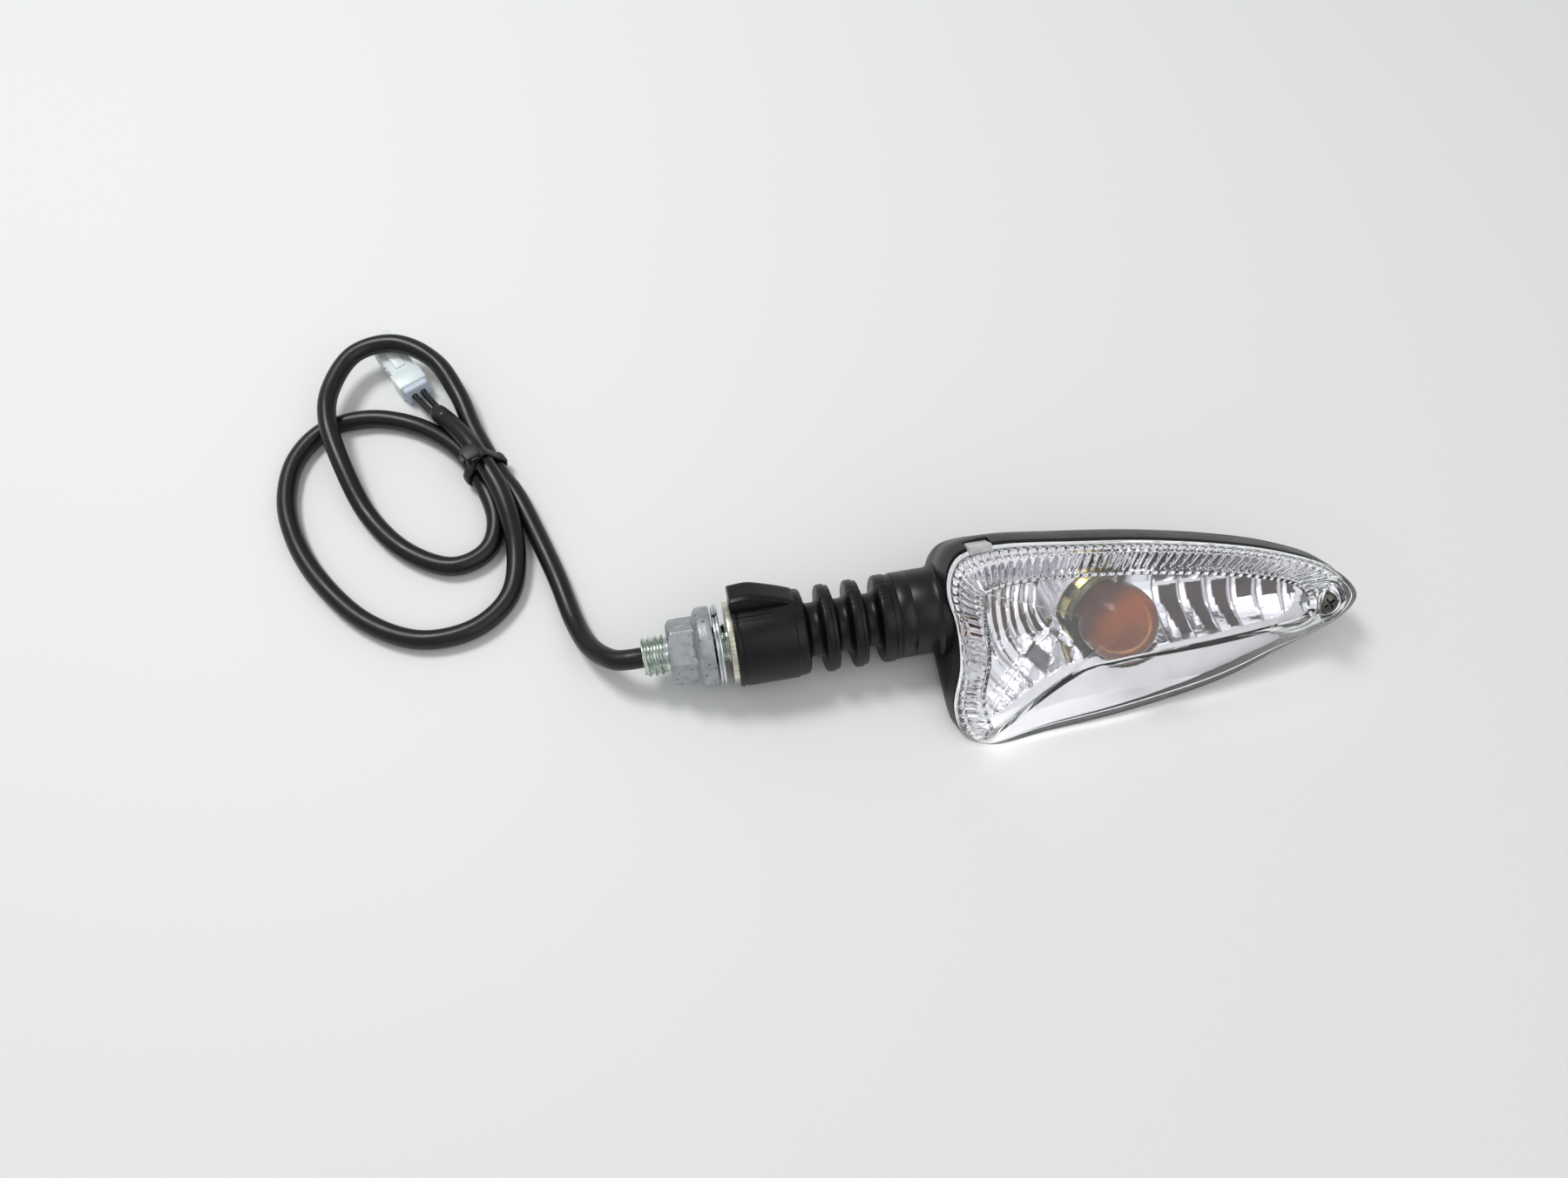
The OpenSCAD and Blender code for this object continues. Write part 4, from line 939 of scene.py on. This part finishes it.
def at(ring, n):
    """An outline as points at a height, which may differ from point to point."""
    return [(u, v, h) for (u, v), h in zip(ring, np.broadcast_to(n, len(ring)))]


middle_of_face = face_out.mean(0) + (4, -1)


def shrunk(d, s):
    """The face's outline moved inwards by d and drawn to the middle of the face."""
    return middle_of_face + (inset(face_out, d) - middle_of_face) * s


outer = [at(inset(rim_out, d), n) for d, n in (
    (0.3, LENS_N), (0.05, LENS_N + 0.12), (0, LENS_N + 0.35), (0, EDGE_N - 0.3), (0.08, EDGE_N),
    (0.3, EDGE_N + 0.3))]
for t in np.linspace(0.08, 0.97, 8):
    swell = 0.55 * sin(pi * t)
    ring = inset(rim_out, 0.3) * (1 - t) + face_out * t
    outer.append(at(inset(ring, -swell * (1 - 0.75 * foot[:, None])),
                    EDGE_N + (FACE_N - EDGE_N) * t + swell * 0.5 * (1 - foot)))
outer += [at(inset(face_out, d), n) for d, n in (
    (0.25, FACE_N + 0.22), (0.8, FACE_N + 0.16), (1.1, FACE_N))]
outer += [at(shrunk(1.1, s), FACE_N) for s in (0.9, 0.78, 0.62, 0.45, 0.28, 0.12, 0)]
inner = [at(inset(rim_out, LENS_WALL), n) for n in (LENS_N, EDGE_N - 1.0)]
for t in (0, 0.04, 0.08, 0.16, 0.24, 0.28, 0.3, 0.32, 0.36, 0.46, 0.58, 0.7, 0.8, 0.88, 0.93,
          0.97, 1):
    row = t < 0.3
    phase = walk[:len(rim_out)] / RIB_PITCH + (0.5 if row else 0) + (0.2 if row else 1.3) * t
    depth = ribbed * (0.55 if row else 0.36) * smoothstep(0, 0.08, t) * smoothstep(0.97, 0.85, t)
    tooth = rib(phase) * depth * min(1, abs(t - 0.3) / 0.05)
    base = inset(rim_out, LENS_WALL) * (1 - t) + inset(face_out, 1.2) * t
    normals = inset(base, 1) - base
    inner.append(at(base - normals * tooth[:, None],
                    EDGE_N - 0.8 + (FACE_N - LENS_WALL - EDGE_N + 0.8) * t + 0.5 * tooth))
inner += [at(shrunk(1.2, s), FACE_N - LENS_WALL) for s in (0.93, 0.6, 0.3, 0)]
lens = make("lens_clear", *moved(skin(inner[::-1] + outer, caps=False), head_turn), acrylic,
            sharp=28)
for name, outline, steps, way in (
        ("lug", rounded([(LENS_N, 0, 0), (LENS_N, 4.5, 0.2), (17.4, 4.5, 0.5), (17.4, 0, 0)]), 64,
         "UNION"),
        ("spot_face", [(17.4, 0), (17.4, 4.6), (26, 5.0), (26, 0)], 64, "DIFFERENCE"),
        ("screw_well", rounded([(15.9, 0, 0), (15.9, 3.2, 0.2), (20, 3.3, 0), (20, 0, 0)]), 64,
         "DIFFERENCE"),
        ("screw_hole", [(10, 0), (10, 1.75), (17, 1.75), (17, 0)], 48, "DIFFERENCE")):
    carve(lens, make(name, *moved(turned(outline, steps), screw_frame), acrylic), way)
lens.data.set_sharp_from_angle(angle=radians(28))
seat(lens, "lens_unit", "clear_plastic", "lens")
frosted = finish("frosted_acrylic_tab", "#dcdcda", "#c9c9c7", 3, (0.3, 0.45), 0.5, 0.01, IOR=1.49,
                 Transmission_Weight=0.25)
tab = make("lens_tab", *moved(block((57.66, 63.06), (14.5, 16.8), (9, 14.4), 0.3), head_turn),
           frosted)
seat(tab, "lens_unit", "clear_plastic")

# ---- Lens screw --------------------------------------------------------------------------------
# A small dark zinc-plated pan-head screw with a cross recess, on a soft black washer in the lug.
SCREW_PITCH = 0.8
dark_zinc = finish("dark_zinc_screw", "#6f6e68", "#4c4b47", 1, (0.25, 0.4), 0.2, 0.02, Metallic=1)


def screw_thread(x, r, angle):
    """The screw's radius, on a plain vee thread below its head."""
    if r < 1.2 or x > 14.6:
        return r
    return r - 0.3 * abs(((x / SCREW_PITCH - angle / (2 * pi)) % 1) * 2 - 1)


screw = make("lens_screw_pan", *moved(turned(
    [(5.5, 0), (5.5, 0.9)] + [(x, 1.45) for x in np.arange(5.9, 14.8, 0.15)]
    + [(16.5, 1.45), (16.5, 2.45), (16.65, 2.6), (17.3, 2.6), (17.8, 2.35), (18.15, 1.7), (18.3, 0.9),
       (18.3, 0)], 64, screw_thread), screw_frame), dark_zinc, sharp=40)
for turn in (0, 90):
    slot_cut = make("slot", *moved(moved(block((17.3, 19), (-1.45, 1.45), (-0.28, 0.28), 0.06),
                                         Matrix.Rotation(radians(turn + 30), 4, "X")), screw_frame),
                    dark_zinc)
    carve(screw, slot_cut)
seat(screw, "screw", "screw_steel", "lens_screw")
soft_washer = make("screw_washer", *moved(turned(rounded([
    (15.92, 1.56, 0.1), (15.92, 2.4, 0.15), (16.48, 2.4, 0.15), (16.48, 1.56, 0.1)]), 48),
    screw_frame), foam)
seat(soft_washer, "screw_travel", "gasket_rubber", "screw_seal")

# ---- Socket and inner parts --------------------------------------------------------------------
# What stays in the shape of its solid: the spun brass socket, its fibre floor and plunger, the
# bulb's lead contact, the spring clip on the stalk and the two wires to the socket's blades.
socket_brass = finish("spun_brass_socket", "#c2b680", "#9c8d52", 4, (0.2, 0.4), 0.4, 0.03,
                      specks=(1, "#6b6038", 0.68), Metallic=1)
fibre = finish("vulcanised_fibre", "#5a3a24", "#6d4a30", 3, (0.5, 0.65), 0.3, 0.03, IOR=1.5)
solder = finish("lead_solder", "#8f9093", "#75767a", 1.5, (0.3, 0.5), 0.4, 0.04, Metallic=1)
spring_steel = finish("spring_steel", "#a5a6a6", "#828484", 3, (0.2, 0.35), 0.3, 0.01, Metallic=1)
orange_pvc = finish("orange_wire_pvc", "#d2691c", "#c25d17", 4, (0.3, 0.42), 0.8, 0.02, IOR=1.53)
for node, slot_name, material in (
        ("socket_shell", "socket_brass", socket_brass), ("socket_base", "insulator", fibre),
        ("socket_plunger", "insulator", fibre), ("bulb_contact", "solder", solder),
        ("stem_clip", "spring_steel", spring_steel), ("signal_wire", "wire_orange", orange_pvc),
        ("ground_wire", "wire_black", wire_pvc)):
    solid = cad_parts[node]
    solid.data.materials.clear()
    solid.data.materials.append(material)
spring_line = [(-20.7 + 1.4 * a / (4 * pi), 4.5 * cos(a), 4.5 * sin(a))
               for a in np.linspace(0, 4 * pi, 120)]
spring = make("socket_spring_coil", *moved(skin(tube(spring_line, 10, lambda i, a: 0.3)), bulb_at),
              spring_steel)
bend(spring, "socket_spring")

# ---- Floor and light ---------------------------------------------------------------------------
# A plain pale bench top, a broad soft lamp from behind on the left and a weaker one from the front
# right. The room beyond the bench is white.
bench, tree = blank("pale_bench")
show(tree, add(tree, "BsdfPrincipled", {}, {"Base Color": colour("#e6e7e6"), "Roughness": 0.6}))
FAR, BENCH_Z = 3000, FLOOR_Z - 0.03
floor = make("floor", [(x * FAR, y * FAR, BENCH_Z) for x, y in ((-1, -1), (1, -1), (1, 1), (-1, 1))],
             [(0, 1, 2, 3)], bench)
for name, place, size, power in (("key", (-0.3, 0.38, 0.8), 0.26, 4.2),
                                 ("fill", (0.45, -0.5, 0.8), 0.9, 2.3)):
    lamp = bpy.data.objects.new(name, bpy.data.lights.new(name, "AREA"))
    lamp.data.size, lamp.data.energy = size, power
    lamp.location = place
    aim = Vector((0.02, 0.03, 0)) - Vector(place)
    lamp.rotation_euler = aim.to_track_quat("-Z", "Y").to_euler()
    bpy.context.scene.collection.objects.link(lamp)
world = bpy.data.worlds.new("room")
bpy.context.scene.world = world
world.use_nodes = True
tree = world.node_tree
tree.nodes.clear()
path = add(tree, "LightPath").outputs
seen = add(tree, "Math", {"operation": "MAXIMUM"}, {0: path["Is Camera Ray"],
                                                    1: path["Is Transmission Ray"]}).outputs[0]
light = add(tree, "Background", {}, {"Color": (0.97, 0.985, 1, 1),
                                     "Strength": span(tree, seen, 0, 1, 0.5, 1)})
add(tree, "OutputWorld", {}, {"Surface": light.outputs["Background"]})
bpy.context.scene.view_settings.view_transform = "Standard"
